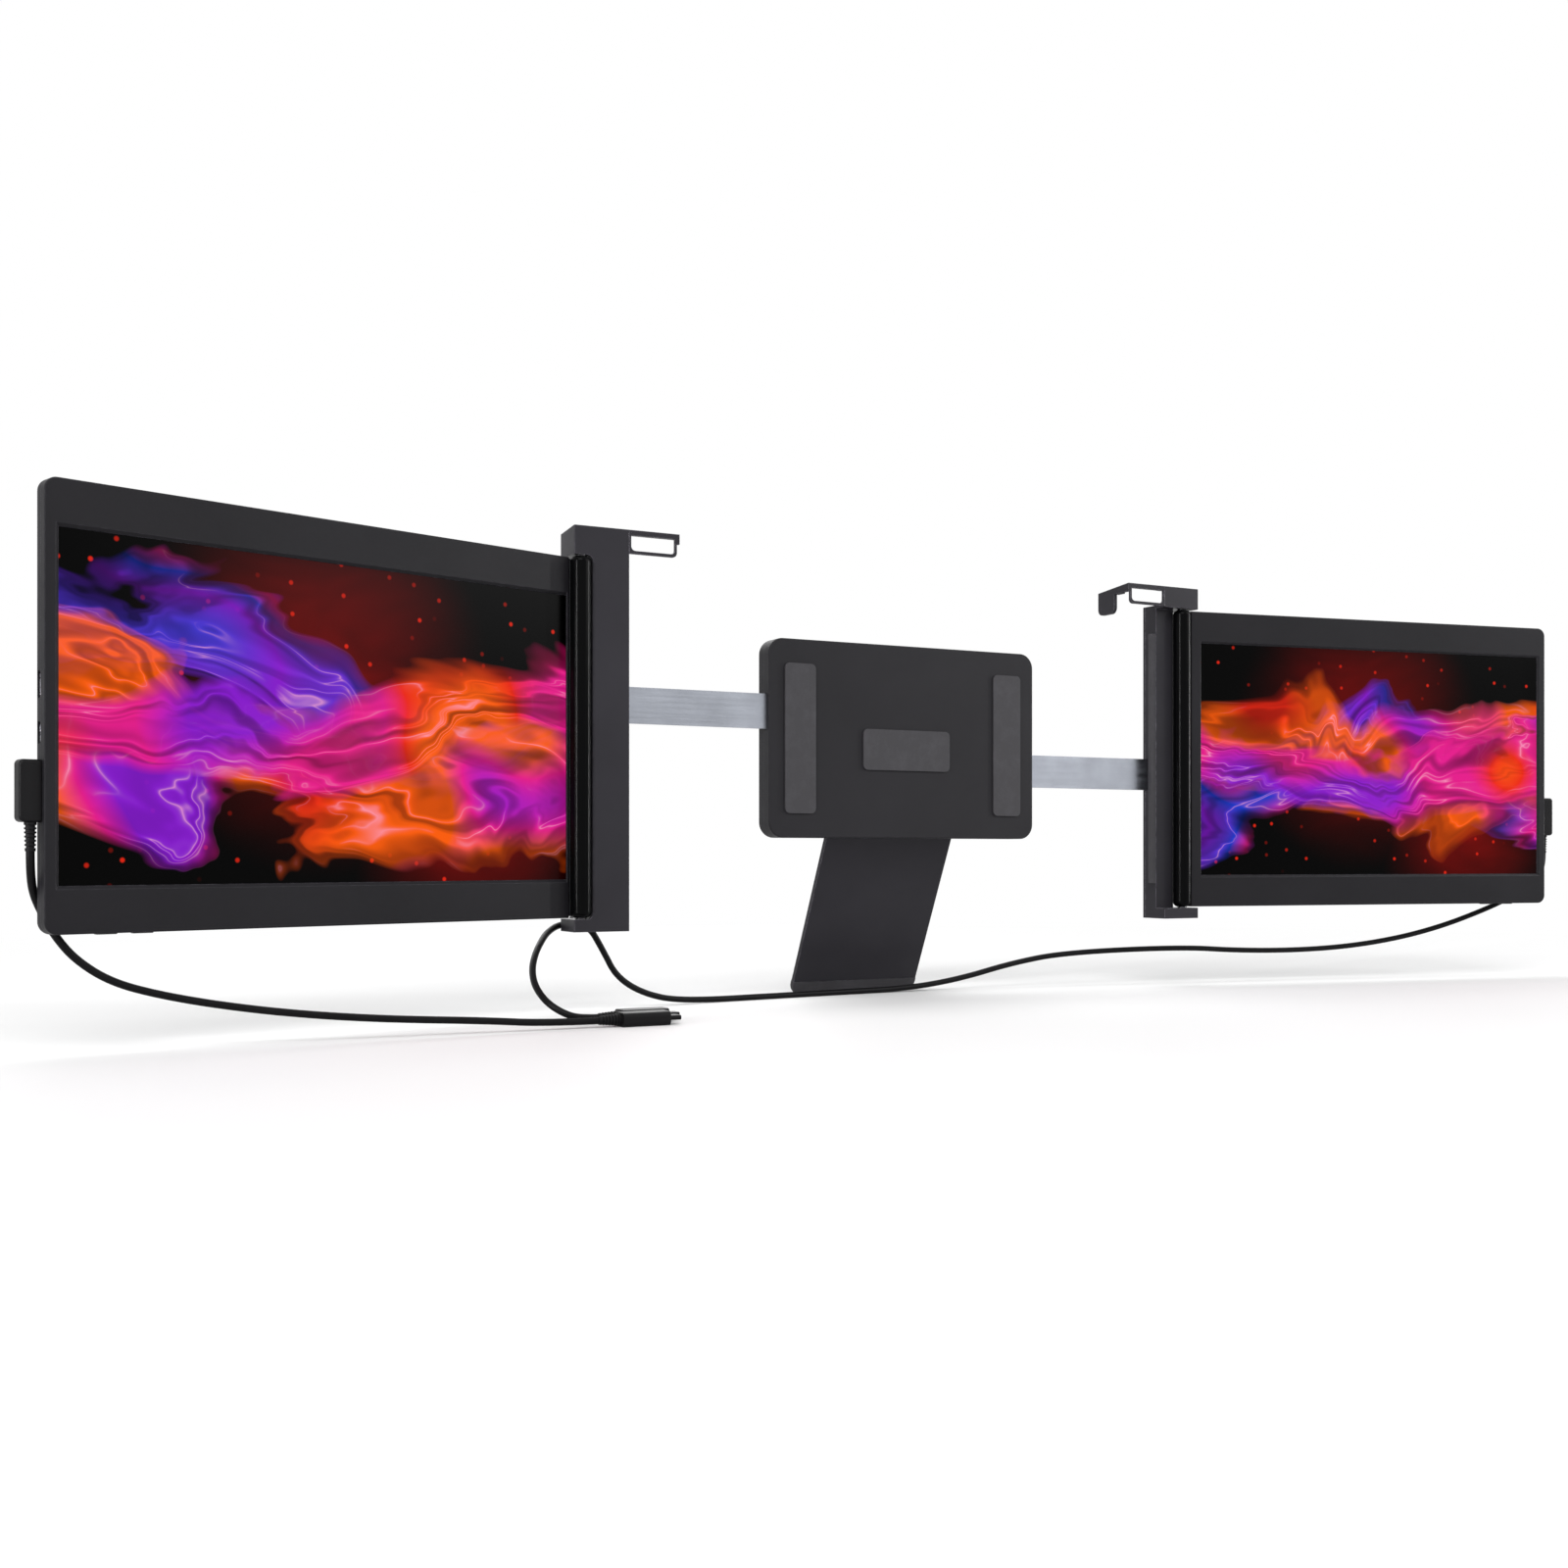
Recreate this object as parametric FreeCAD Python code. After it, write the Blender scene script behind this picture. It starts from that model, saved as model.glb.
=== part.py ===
import FreeCAD
import Part

import math
import os

from FreeCAD import Vector

# A pair of portable screens that hangs on the lid of a laptop.
# X runs to the right, Y away from the viewer and Z up, in millimetres.
# The origin is the middle of the pad that lies on the back of the lid.

# Lid that the extender fits, at rest
LID_TOP_RISE = 7.0
DESK_Z = -146.0

# Screen: a 12 inch panel with a 16:9 picture
SCREEN_W = 265.7
SCREEN_H = 149.4
BORDER_TOP = 20.4
BORDER_BOTTOM = 20.4
BORDER_OUTER = 6.2
BORDER_INNER = {"left": 1.2, "right": 6.85}
MONITOR_T = 9.0
BEZEL_DEPTH = 4.2
SHELL_WALL = 1.1
CORNER_R = 5.5
REAR_EDGE_R = 1.8
OPENING_BEVEL = 1.6
PANEL_T = 2.0
PANEL_HIDDEN = 2.4
TRAY_T = 0.9
TRAY_RIM = 1.0
FIT = 0.05

# Hinge of each monitor
BARREL_R = 5.6
BARREL_EDGE_R = 3.0
PIN_R = 2.0
PIN_RUNNING = 0.05
WASHER_T = 0.6
WASHER_R = 2.9
END_GAP = 0.1
HINGE_X = {"left": 211.6, "right": 203.04}
HINGE_Y = {"left": -13.5, "right": -8.74}
FACE_SETBACK = {"left": 3.5, "right": -2.25}
BODY_START = {"left": 5.1, "right": 5.75}
REST_TURN = {"left": 17.3, "right": 10.3}
WING_LEVEL = 4.4
WING_T = 1.0
WING_END = 17.1
WEB_START = 2.4
WEB_T = 2.4
FIN_GAP = 0.15
FIN_FROM_END = 1.0
LEAF_T = 0.8
LEAF_REACH = 40.0

# Bracket that stands beside the lid
CASE_IN = 185.2
CASE_OUT = {"left": 216.3, "right": 213.0}
CASE_FRONT_Y = {"left": -16.5, "right": -13.0}
CASE_BACK_Y = 6.0
COVER_T = 2.0
BLOCK_H = {"left": 15.1, "right": 13.0}
BLOCK_FLOOR_T = 1.9
FOOT_H = 6.6
COLUMN_OUT = {"left": 205.9, "right": 201.93}
COLUMN_FRONT_Y = {"left": -16.5, "right": -4.5}
COLUMN_EDGE_R = {"left": 0.8, "right": 4.5}
NOTCH_R = 3.4
CASE_REAR_BEVEL = 4.5
CASE_WALL = 2.0
TOP_SLOPE = 0.1
SCREW_R = 1.25
SCREW_HEAD_R = 2.4
SCREW_HEAD_T = 1.0
BOSS_R = 3.0

# Hook over the top edge of the lid
HOOK_REACH = 29.5
BAND_D = 3.0
ROOF_T = 2.8
RING_T = 1.6
RING_SIDE = 1.2
RING_BOTTOM = 1.7
WINDOW_H = 8.2
WINDOW_R = 2.5
LIP_W = 2.8
LIP_DROP = 5.5
TONGUE_L = 10.0
TONGUE_H = 1.4
TONGUE_D = 3.8
TONGUE_DROP = 2.5
TONGUE_SETBACK = 1.2
GUSSET_W = 7.4
REAR_LEG_W = 2.4
REAR_LEG_T = 2.0
REAR_LEG_END_Y = 17.0
REAR_LEG_DROP = 17.5
ROOF_PAD_T = 0.8
ROOF_PAD_REAR_Y = -1.0
ROOF_PAD_FRONT_Y = -7.0
SIDE_PAD_T = 3.2
SIDE_PAD_END = 15.1

# Sliding arms and the housing behind the lid
ARM_T = 1.8
ARM_Y = 4.1
ARM_H = 20.0
ARM_Z = {"left": 20.0, "right": -10.0}
ARM_INNER = 12.0
ARM_PLATE_HALF_H = 45.0
ARM_PLATE_INSET = 3.0
HOUSING_HALF_W = 92.0
HOUSING_BOTTOM_Z = -52.0
HOUSING_TOP_Z = 62.0
HOUSING_FRONT_Y = 1.0
HOUSING_SPLIT_Y = 7.9
HOUSING_BACK_Y = 15.0
HOUSING_WALL = 2.0
HOUSING_CORNER_R = 9.0
HOUSING_EDGE_R = 2.0
GUIDE_L = 26.0
GUIDE_RIM = 5.0
SLIDE_FIT = 0.08
SPRING_R = 1.9
SPRING_BORE_R = 1.3
SPRING_OFFSET_Z = 6.0
SPRING_POST_X = 42.0
TAB_L = 4.0

# Kickstand
STAND_HALF_W = 44.0
STAND_T = 3.0
STAND_TURN = 25.0
STAND_PIVOT_Y = 18.8
STAND_PIVOT_Z = -47.0
STAND_KNUCKLE_R = 3.4
STAND_PIN_R = 2.0
STAND_CORNER_R = 8.0
LUG_L = 6.0
LUG_GAP = 0.4
STAND_FOOT_H = 7.0

# Sockets, boards and buttons
SOCKET_W = 9.0
SOCKET_H = 3.2
SOCKET_L = 7.6
SOCKET_WALL = 0.35
SOCKET_LEVEL = 6.0
SOCKET_Z = (-29.0, -11.0)
VIDEO_SOCKET_Z = 9.0
VIDEO_SOCKET_W = 11.2
TONGUE_T = 0.7
BOARD_T = 1.0
BOARD_LEVEL = 6.3
BOARD_W = 54.0
BOARD_TOP_Z = 30.0
CHIP_H = 1.4
BUTTON_L = 9.0
BUTTON_W = 3.0
BUTTON_PROUD = 0.6
BUTTON_TRAVEL = 0.5
BUTTON_FIT = 0.15
BUTTON_FROM_END = {"power": 22.0, "menu": 38.0}
SWITCH_H = 1.5

# Cables
CABLE_D = 3.5
PLUG_H = 26.0
PLUG_TOP_Z = -22.3
PLUG_OUT = 9.0
PLUG_W = 6.6
PLUG_LEVEL = 5.6
BOOT_OUT = 3.6
BOOT_L = 12.0
BOOT_R = 2.5
BOOT_END_D = 4.2
FAR_BOOT_R = 3.0
TIP_W = 8.2
TIP_H = 2.4
TIP_WALL = 0.5
TIP_L = 6.4
FAR_BODY_L = 25.0
FAR_BODY_W = 12.0
FAR_BOOT_L = 11.0
FAR_W = 7.0
FAR_FRONT_X = {"left": -193.0, "right": -187.0}
FAR_Y = {"left": -82.0, "right": -67.0}
CLIP_X = -205.0
CLIP_Y = 11.5
CLIP_DROP = 3.1
CLIP_L = 5.0
CLIP_R = 2.6
CLIP_WALL = 1.4

# Values that follow from the ones above
LID_FACE_Y = 0.0
MONITOR_TOP = SCREEN_H / 2 + BORDER_TOP
MONITOR_BOTTOM = -(SCREEN_H / 2 + BORDER_BOTTOM)
BARREL_TOP = MONITOR_TOP + 0.5
BARREL_BOTTOM = MONITOR_BOTTOM
BLOCK_BOTTOM = BARREL_TOP + WASHER_T + 2 * END_GAP
BLOCK_TOP = {"left": BLOCK_BOTTOM + BLOCK_H["left"], "right": BLOCK_BOTTOM + BLOCK_H["right"]}
FOOT_TOP = BARREL_BOTTOM - WASHER_T - 2 * END_GAP
FOOT_BOTTOM = FOOT_TOP - FOOT_H
CLIP_Z = FOOT_TOP - CLIP_DROP
WING_HALF_H = MONITOR_TOP - WING_END
SIDE_PAD_HALF_H = MONITOR_TOP - SIDE_PAD_END
LID_TOP_Z = BLOCK_BOTTOM + LID_TOP_RISE
ROOF_PAD_TOP_Z = LID_TOP_Z + ROOF_PAD_T
SIDES = ("left", "right")
ORIGIN = Vector(0, 0, 0)
UP = Vector(0, 0, 1)


def box(x0, x1, y0, y1, z0, z1):
    return Part.makeBox(x1 - x0, y1 - y0, z1 - z0, Vector(x0, y0, z0))


def rod(radius, start, end):
    axis = end - start
    return Part.makeCylinder(radius, axis.Length, start, axis)


def fuse(first, *others):
    return first.multiFuse(list(others)).removeSplitter()


def cut(shape, *tools):
    return shape.cut(Part.makeCompound(list(tools)))


def edges_where(shape, test):
    return [edge for edge in shape.Edges if test(edge.BoundBox)]


def round_edges(shape, radius, test):
    return shape.makeFillet(radius, edges_where(shape, test))


def flat(low, high):
    return abs(high - low) < 1e-6


def stadium(length_z, height_y, x0, x1, y, z):
    """A bar along X whose section is a slot with round ends, long in Z."""
    r = height_y / 2
    half = length_z / 2 - r
    middle = box(x0, x1, y - r, y + r, z - half, z + half)
    low = rod(r, Vector(x0, y, z - half), Vector(x1, y, z - half))
    high = rod(r, Vector(x0, y, z + half), Vector(x1, y, z + half))
    return fuse(middle, low, high)


def place_monitor(shape, side):
    """From the hinge's own frame to the rest pose of that side."""
    placed = shape.copy()
    placed.rotate(ORIGIN, UP, -REST_TURN[side])
    placed.translate(Vector(HINGE_X[side], HINGE_Y[side], 0))
    return on_side(placed, side)


def on_side(shape, side):
    """Pieces are made on the right, at positive X, and mirrored for the left."""
    if side == "left":
        return shape.mirror(ORIGIN, Vector(1, 0, 0))
    return shape


def screen_span(side):
    """Start and end of the picture, and the monitor's outer end, from the hinge axis."""
    start = BODY_START[side] + BORDER_INNER[side]
    return start, start + SCREEN_W, start + SCREEN_W + BORDER_OUTER


def monitor_outline(side, level0, level1, inset=0.0):
    """The monitor's outline as a slab between two depths behind its face."""
    face = FACE_SETBACK[side]
    u0 = BODY_START[side] + inset
    u1 = screen_span(side)[2] - inset
    z0 = MONITOR_BOTTOM + inset
    z1 = MONITOR_TOP - inset
    slab = box(u0, u1, face + level0, face + level1, z0, z1)
    radius = max(CORNER_R - inset, 0.5)
    return round_edges(slab, radius, lambda b: flat(b.XMin, b.XMax) and flat(b.ZMin, b.ZMax)
                       and b.XMax > u1 - 1)


def front_bezel(side):
    face = FACE_SETBACK[side]
    start, end, outer = screen_span(side)
    shell = monitor_outline(side, 0.0, BEZEL_DEPTH)
    edge = 0.6
    front = face + edge / 10
    shell = round_edges(shell, edge, lambda b: b.YMax < front and b.XMax > BODY_START[side] + 1)
    hollow = monitor_outline(side, SHELL_WALL, BEZEL_DEPTH, SHELL_WALL)
    half = SCREEN_H / 2
    near = Part.makePolygon([Vector(start, face - 0.01, -half - OPENING_BEVEL),
                             Vector(end + OPENING_BEVEL, face - 0.01, -half - OPENING_BEVEL),
                             Vector(end + OPENING_BEVEL, face - 0.01, half + OPENING_BEVEL),
                             Vector(start, face - 0.01, half + OPENING_BEVEL),
                             Vector(start, face - 0.01, -half - OPENING_BEVEL)])
    far = Part.makePolygon([Vector(start, face + SHELL_WALL, -half),
                            Vector(end, face + SHELL_WALL, -half),
                            Vector(end, face + SHELL_WALL, half),
                            Vector(start, face + SHELL_WALL, half),
                            Vector(start, face + SHELL_WALL, -half)])
    opening = Part.makeLoft([near, far], True, True)
    shell = cut(shell, hollow, opening)
    posts = [rod(BOSS_R - 0.7, Vector(u, face + SHELL_WALL, z), Vector(u, face + 5.0, z))
             for u, z in outer_screws(side)]
    shell = fuse(shell, *posts)
    holes = [rod(SCREW_R, Vector(u, face + 2.4, z), Vector(u, face + 5.1, z)) for u, z in outer_screws(side)]
    return cut(shell, *holes)


def outer_screws(side):
    end = screen_span(side)[1]
    z = MONITOR_TOP - 5.6
    return [(end - 10, z), (end - 10, -z), (end / 2, z), (end / 2, -z)]


def hinge_screws(side):
    u = BODY_START[side] + 22.0
    z = WING_HALF_H - 20
    return [(u, z), (u, -z)]


def socket_centres():
    return [(z, SOCKET_W) for z in SOCKET_Z] + [(VIDEO_SOCKET_Z, VIDEO_SOCKET_W)]


def button_places(side):
    return [screen_span(side)[1] - back for back in BUTTON_FROM_END.values()]


def button_slots(side, grow):
    """The bars that the two keys fill in the bottom wall."""
    face = FACE_SETBACK[side]
    level = face + SOCKET_LEVEL
    bars = []
    for u in button_places(side):
        bars.append(box(u - BUTTON_L / 2 - grow, u + BUTTON_L / 2 + grow,
                        level - BUTTON_W / 2 - grow, level + BUTTON_W / 2 + grow,
                        MONITOR_BOTTOM - 1, MONITOR_BOTTOM + SHELL_WALL + 0.1))
    return bars


def rear_cover(side):
    face = FACE_SETBACK[side]
    back = face + MONITOR_T
    outer = screen_span(side)[2]
    shell = monitor_outline(side, BEZEL_DEPTH, MONITOR_T)
    shell = round_edges(shell, REAR_EDGE_R, lambda b: b.YMin > back - 0.01)
    hollow = monitor_outline(side, BEZEL_DEPTH, MONITOR_T - SHELL_WALL, SHELL_WALL)
    shell = cut(shell, hollow)
    inner_back = back - SHELL_WALL
    leaf_back = face + WING_LEVEL + WING_T + LEAF_T + FIT
    bosses = [rod(BOSS_R, Vector(u, leaf_back, z), Vector(u, inner_back + 0.1, z))
              for u, z in hinge_screws(side)]
    bosses += [rod(BOSS_R - 0.7, Vector(u, face + 5.0 + FIT, z), Vector(u, inner_back + 0.1, z))
               for u, z in outer_screws(side)]
    shell = fuse(shell, *bosses)
    tools = []
    for u, z in hinge_screws(side) + outer_screws(side):
        tools.append(rod(SCREW_R, Vector(u, face + 2, z), Vector(u, back + 1, z)))
        tools.append(rod(SCREW_HEAD_R, Vector(u, back - SCREW_HEAD_T, z), Vector(u, back + 1, z)))
    for z, width in socket_centres():
        tools.append(stadium(width + 0.6, SOCKET_H + 0.5, outer - SHELL_WALL - 0.1, outer + 1,
                             face + SOCKET_LEVEL, z))
    wing = face + WING_LEVEL
    tools.append(box(BODY_START[side] - 1, BODY_START[side] + SHELL_WALL + 0.1,
                     wing - 0.3, wing + WING_T + 0.3, -WING_HALF_H - 0.3, WING_HALF_H + 0.3))
    vent_u = screen_span(side)[1] - 70
    for i in range(8):
        z = -28 + i * 8.0
        tools.append(stadium_along_x(vent_u, vent_u + 34, back - SHELL_WALL - 0.1, back + 1, z, 1.2))
    return cut(shell, *tools, *button_slots(side, BUTTON_FIT))


def stadium_along_x(x0, x1, y0, y1, z, radius):
    """A slot through a wall, long in X."""
    middle = box(x0, x1, y0, y1, z - radius, z + radius)
    near = rod(radius, Vector(x0, y0, z), Vector(x0, y1, z))
    far = rod(radius, Vector(x1, y0, z), Vector(x1, y1, z))
    return fuse(middle, near, far)


def lcd_panel(side):
    face = FACE_SETBACK[side] + SHELL_WALL + FIT
    start, end, outer = screen_span(side)
    half = SCREEN_H / 2 + PANEL_HIDDEN
    return box(start - 0.05, end + PANEL_HIDDEN, face, face + PANEL_T, -half, half)


def backlight_tray(side):
    """A folded steel tray that holds the panel from behind."""
    panel_back = FACE_SETBACK[side] + SHELL_WALL + FIT + PANEL_T
    front = FACE_SETBACK[side] + SHELL_WALL + 3 * FIT
    start, end, outer = screen_span(side)
    half = SCREEN_H / 2 + PANEL_HIDDEN + FIT
    edge = end + PANEL_HIDDEN + FIT
    plate = box(start, edge, panel_back, panel_back + TRAY_T, -half - TRAY_RIM, half + TRAY_RIM)
    top = box(start, edge, front, panel_back + TRAY_T, half, half + TRAY_RIM)
    bottom = box(start, edge, front, panel_back + TRAY_T, -half - TRAY_RIM, -half)
    tray = fuse(plate, top, bottom)
    slots = []
    for i in range(4):
        u = start + 40 + i * 52
        slots.append(box(u, u + 30, panel_back - 0.1, panel_back + TRAY_T + 0.1, 44, 48))
        slots.append(box(u, u + 30, panel_back - 0.1, panel_back + TRAY_T + 0.1, -48, -44))
    return cut(tray, *slots)


def driver_board(side):
    """The circuit board with its chips and the two key switches."""
    face = FACE_SETBACK[side]
    end = screen_span(side)[1]
    outer = screen_span(side)[2]
    u1 = outer - SHELL_WALL - SOCKET_L - 0.2
    u0 = u1 - BOARD_W
    level = face + BOARD_LEVEL
    z0 = MONITOR_BOTTOM + SHELL_WALL + SWITCH_H + 1.6
    board = box(u0, u1, level, level + BOARD_T, z0, BOARD_TOP_Z)
    chips = [box(u0 + 12, u0 + 26, level - CHIP_H, level, -30, -16),
             box(u0 + 30, u0 + 38, level - CHIP_H, level, -34, -26),
             box(u0 + 10, u0 + 20, level - CHIP_H, level, 4, 12),
             box(u0 + 28, u0 + 42, level - CHIP_H, level, 12, 20),
             box(u0 + 6, u0 + 36, level - CHIP_H, level, -58, -53)]
    switches = []
    for u in button_places(side):
        switches.append(box(u - 2.2, u + 2.2, level - CHIP_H, level + BOARD_T, z0 - SWITCH_H, z0 + 1.5))
    notches = [rod(BOSS_R, Vector(u, level - 2, z), Vector(u, level + 2, z)) for u, z in outer_screws(side)]
    return cut(fuse(board, *chips, *switches), *notches)


def sockets(side):
    """Three steel sockets in the outer edge, each with its contact tongue."""
    face = FACE_SETBACK[side]
    outer = screen_span(side)[2]
    u0 = outer - SHELL_WALL - SOCKET_L
    u1 = outer - SHELL_WALL - 0.1
    level = face + SOCKET_LEVEL
    group = []
    for z, width in socket_centres():
        can = stadium(width, SOCKET_H, u0, u1, level, z)
        bore = stadium(width - 2 * SOCKET_WALL, SOCKET_H - 2 * SOCKET_WALL, u0 + 0.8, u1 + 1, level, z)
        tongue = box(u0 + 0.4, u1 - 1.6, level - TONGUE_T / 2, level + TONGUE_T / 2,
                     z - width / 2 + 1.9, z + width / 2 - 1.9)
        group.append(fuse(cut(can, bore), tongue))
    return Part.makeCompound(group)


def button(side, name):
    """A key in the bottom edge, with a flange inside the wall."""
    face = FACE_SETBACK[side]
    level = face + SOCKET_LEVEL
    u = screen_span(side)[1] - BUTTON_FROM_END[name]
    wall_top = MONITOR_BOTTOM + SHELL_WALL
    key = box(u - BUTTON_L / 2, u + BUTTON_L / 2, level - BUTTON_W / 2, level + BUTTON_W / 2,
              MONITOR_BOTTOM - BUTTON_PROUD, wall_top + 0.2)
    key = round_edges(key, 0.45, lambda b: b.ZMax < MONITOR_BOTTOM - BUTTON_PROUD + 0.01)
    flange = box(u - BUTTON_L / 2 - 0.9, u + BUTTON_L / 2 + 0.9,
                 level - BUTTON_W / 2, level + BUTTON_W / 2 + 0.3, wall_top + 0.02, wall_top + 0.5)
    stem_top = MONITOR_BOTTOM + SHELL_WALL + 1.6 - BUTTON_TRAVEL - 0.05
    stem = box(u - 1, u + 1, level - 0.8, level + 0.8, wall_top + 0.2, stem_top)
    return fuse(key, flange, stem)


def hinge_barrel(side):
    """The round back edge that turns on the pin, with the wing that enters the monitor."""
    face = FACE_SETBACK[side]
    barrel = rod(BARREL_R, Vector(0, 0, BARREL_BOTTOM), Vector(0, 0, BARREL_TOP))
    barrel = round_edges(barrel, BARREL_EDGE_R, lambda b: flat(b.ZMin, b.ZMax))
    level = face + WING_LEVEL
    web = box(WEB_START, WEB_START + WEB_T, min(level, 3.0), level + WING_T, -WING_HALF_H, WING_HALF_H)
    plate_end = BODY_START[side] + SHELL_WALL + 3.0
    plate = box(WEB_START, plate_end, level, level + WING_T, -WING_HALF_H, WING_HALF_H)
    fin_half = MONITOR_TOP - FIN_FROM_END
    fin = box(WEB_START, BODY_START[side] - FIN_GAP, min(level, 3.0), level + WING_T, -fin_half, fin_half)
    whole = fuse(barrel, web, plate, fin)
    bore = rod(PIN_R + PIN_RUNNING, Vector(0, 0, BARREL_BOTTOM - 1), Vector(0, 0, BARREL_TOP + 1))
    return cut(whole, bore)


def hinge_leaf(side):
    """A steel plate that spreads the hinge's load inside the monitor."""
    level = FACE_SETBACK[side] + WING_LEVEL + WING_T
    u0 = BODY_START[side] + SHELL_WALL + 0.3
    leaf = box(u0, u0 + LEAF_REACH, level, level + LEAF_T, -WING_HALF_H + 4, WING_HALF_H - 4)
    leaf = round_edges(leaf, 4.0, lambda b: flat(b.XMin, b.XMax) and flat(b.ZMin, b.ZMax))
    holes = [rod(SCREW_R, Vector(u, level - 1, z), Vector(u, level + 2, z)) for u, z in hinge_screws(side)]
    window = box(u0 + 12, u0 + LEAF_REACH - 10, level - 1, level + 2, -22, 22)
    return cut(leaf, window, *holes)


def cover_screws(side):
    face = FACE_SETBACK[side]
    back = face + MONITOR_T
    group = []
    for u, z in hinge_screws(side):
        group.append(screw(Vector(u, back, z), face + WING_LEVEL + WING_T))
    for u, z in outer_screws(side):
        group.append(screw(Vector(u, back, z), face + 2.6))
    return Part.makeCompound(group)


def screw(head, tip_y):
    """A cross head screw that points towards the viewer, its head flush at the given point."""
    disc = rod(SCREW_HEAD_R - 0.1, head, head + Vector(0, -SCREW_HEAD_T, 0))
    shank = rod(SCREW_R, head + Vector(0, -SCREW_HEAD_T, 0), Vector(head.x, tip_y, head.z))
    slot_l = 1.5
    slot_w = 0.3
    slot_d = 0.5
    front = head.y - slot_d
    long_z = box(head.x - slot_w, head.x + slot_w, front, head.y + 1, head.z - slot_l, head.z + slot_l)
    long_x = box(head.x - slot_l, head.x + slot_l, front, head.y + 1, head.z - slot_w, head.z + slot_w)
    return cut(fuse(disc, shank), long_z, long_x)


def hinge_pin(side):
    x = HINGE_X[side]
    y = HINGE_Y[side]
    low = FOOT_TOP - FOOT_H + 1.5
    high = BLOCK_TOP[side] - 5.0
    return on_side(rod(PIN_R, Vector(x, y, low), Vector(x, y, high)), side)


def friction_washers(side):
    x = HINGE_X[side]
    y = HINGE_Y[side]
    group = []
    for z in (BARREL_TOP + END_GAP, BARREL_BOTTOM - END_GAP - WASHER_T):
        disc = rod(WASHER_R, Vector(x, y, z), Vector(x, y, z + WASHER_T))
        hole = rod(PIN_R, Vector(x, y, z - 1), Vector(x, y, z + WASHER_T + 1))
        group.append(cut(disc, hole))
    return on_side(Part.makeCompound(group), side)


def top_slope(side, x0, x1, y1, drop=0.0):
    """The space above a plane that slopes down to the back, from the bracket's top front edge."""
    front = CASE_FRONT_Y[side]
    top = BLOCK_TOP[side] - drop
    run = y1 - front + 1
    points = [Vector(x0, front - 1, top + TOP_SLOPE),
              Vector(x0, y1 + 1, top - TOP_SLOPE * run),
              Vector(x0, y1 + 1, top + 9),
              Vector(x0, front - 1, top + 9),
              Vector(x0, front - 1, top + TOP_SLOPE)]
    face = Part.Face(Part.makePolygon(points))
    return face.extrude(Vector(x1 - x0, 0, 0))


def rear_bevel(side):
    """The space outside the bevel down the outer rear edge of block and foot."""
    x = CASE_OUT[side] + 0.01
    y = CASE_BACK_Y + COVER_T + 0.01
    points = [Vector(x, y, -200),
              Vector(x - CASE_REAR_BEVEL, y, -200),
              Vector(x, y - CASE_REAR_BEVEL, -200),
              Vector(x, y, -200)]
    face = Part.Face(Part.makePolygon(points))
    return face.extrude(Vector(0, 0, 400))


def block_relief(side):
    """The space behind the right hook's window, kept free so that the window is clear."""
    if side == "left":
        return []
    near = CASE_FRONT_Y[side]
    floor = BLOCK_BOTTOM + BLOCK_FLOOR_T
    points = [Vector(CASE_IN - 1, near + RING_T, floor),
              Vector(CASE_IN + 0.1, near + RING_T, floor),
              Vector(CASE_IN + 17.3, CASE_BACK_Y + COVER_T + 1, floor),
              Vector(CASE_IN - 1, CASE_BACK_Y + COVER_T + 1, floor),
              Vector(CASE_IN - 1, near + RING_T, floor)]
    face = Part.Face(Part.makePolygon(points))
    return [face.extrude(Vector(0, 0, BLOCK_TOP[side]))]


def notch_rounds(side):
    """Rounded inner corners where the left column meets its block and foot."""
    if side == "right":
        return []
    x0 = COLUMN_OUT[side] - 1.0
    x1 = COLUMN_OUT[side] + NOTCH_R
    y0 = CASE_FRONT_Y[side]
    y1 = CASE_BACK_Y
    high = box(x0, x1, y0, y1, BLOCK_BOTTOM - NOTCH_R, BLOCK_BOTTOM + 0.1)
    low = box(x0, x1, y0, y1, FOOT_TOP - 0.1, FOOT_TOP + NOTCH_R)
    high_z = BLOCK_BOTTOM - NOTCH_R
    low_z = FOOT_TOP + NOTCH_R
    high_tool = rod(NOTCH_R, Vector(x1, y0 - 1, high_z), Vector(x1, y1 + 1, high_z))
    low_tool = rod(NOTCH_R, Vector(x1, y0 - 1, low_z), Vector(x1, y1 + 1, low_z))
    return [high.cut(high_tool), low.cut(low_tool)]


def bracket_screw_points(side):
    x = (CASE_IN + COLUMN_OUT[side]) / 2
    return [(x, ARM_PLATE_HALF_H - 9), (x, -ARM_PLATE_HALF_H + 9), (x, BLOCK_BOTTOM - 9), (x, FOOT_TOP + 9)]


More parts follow.
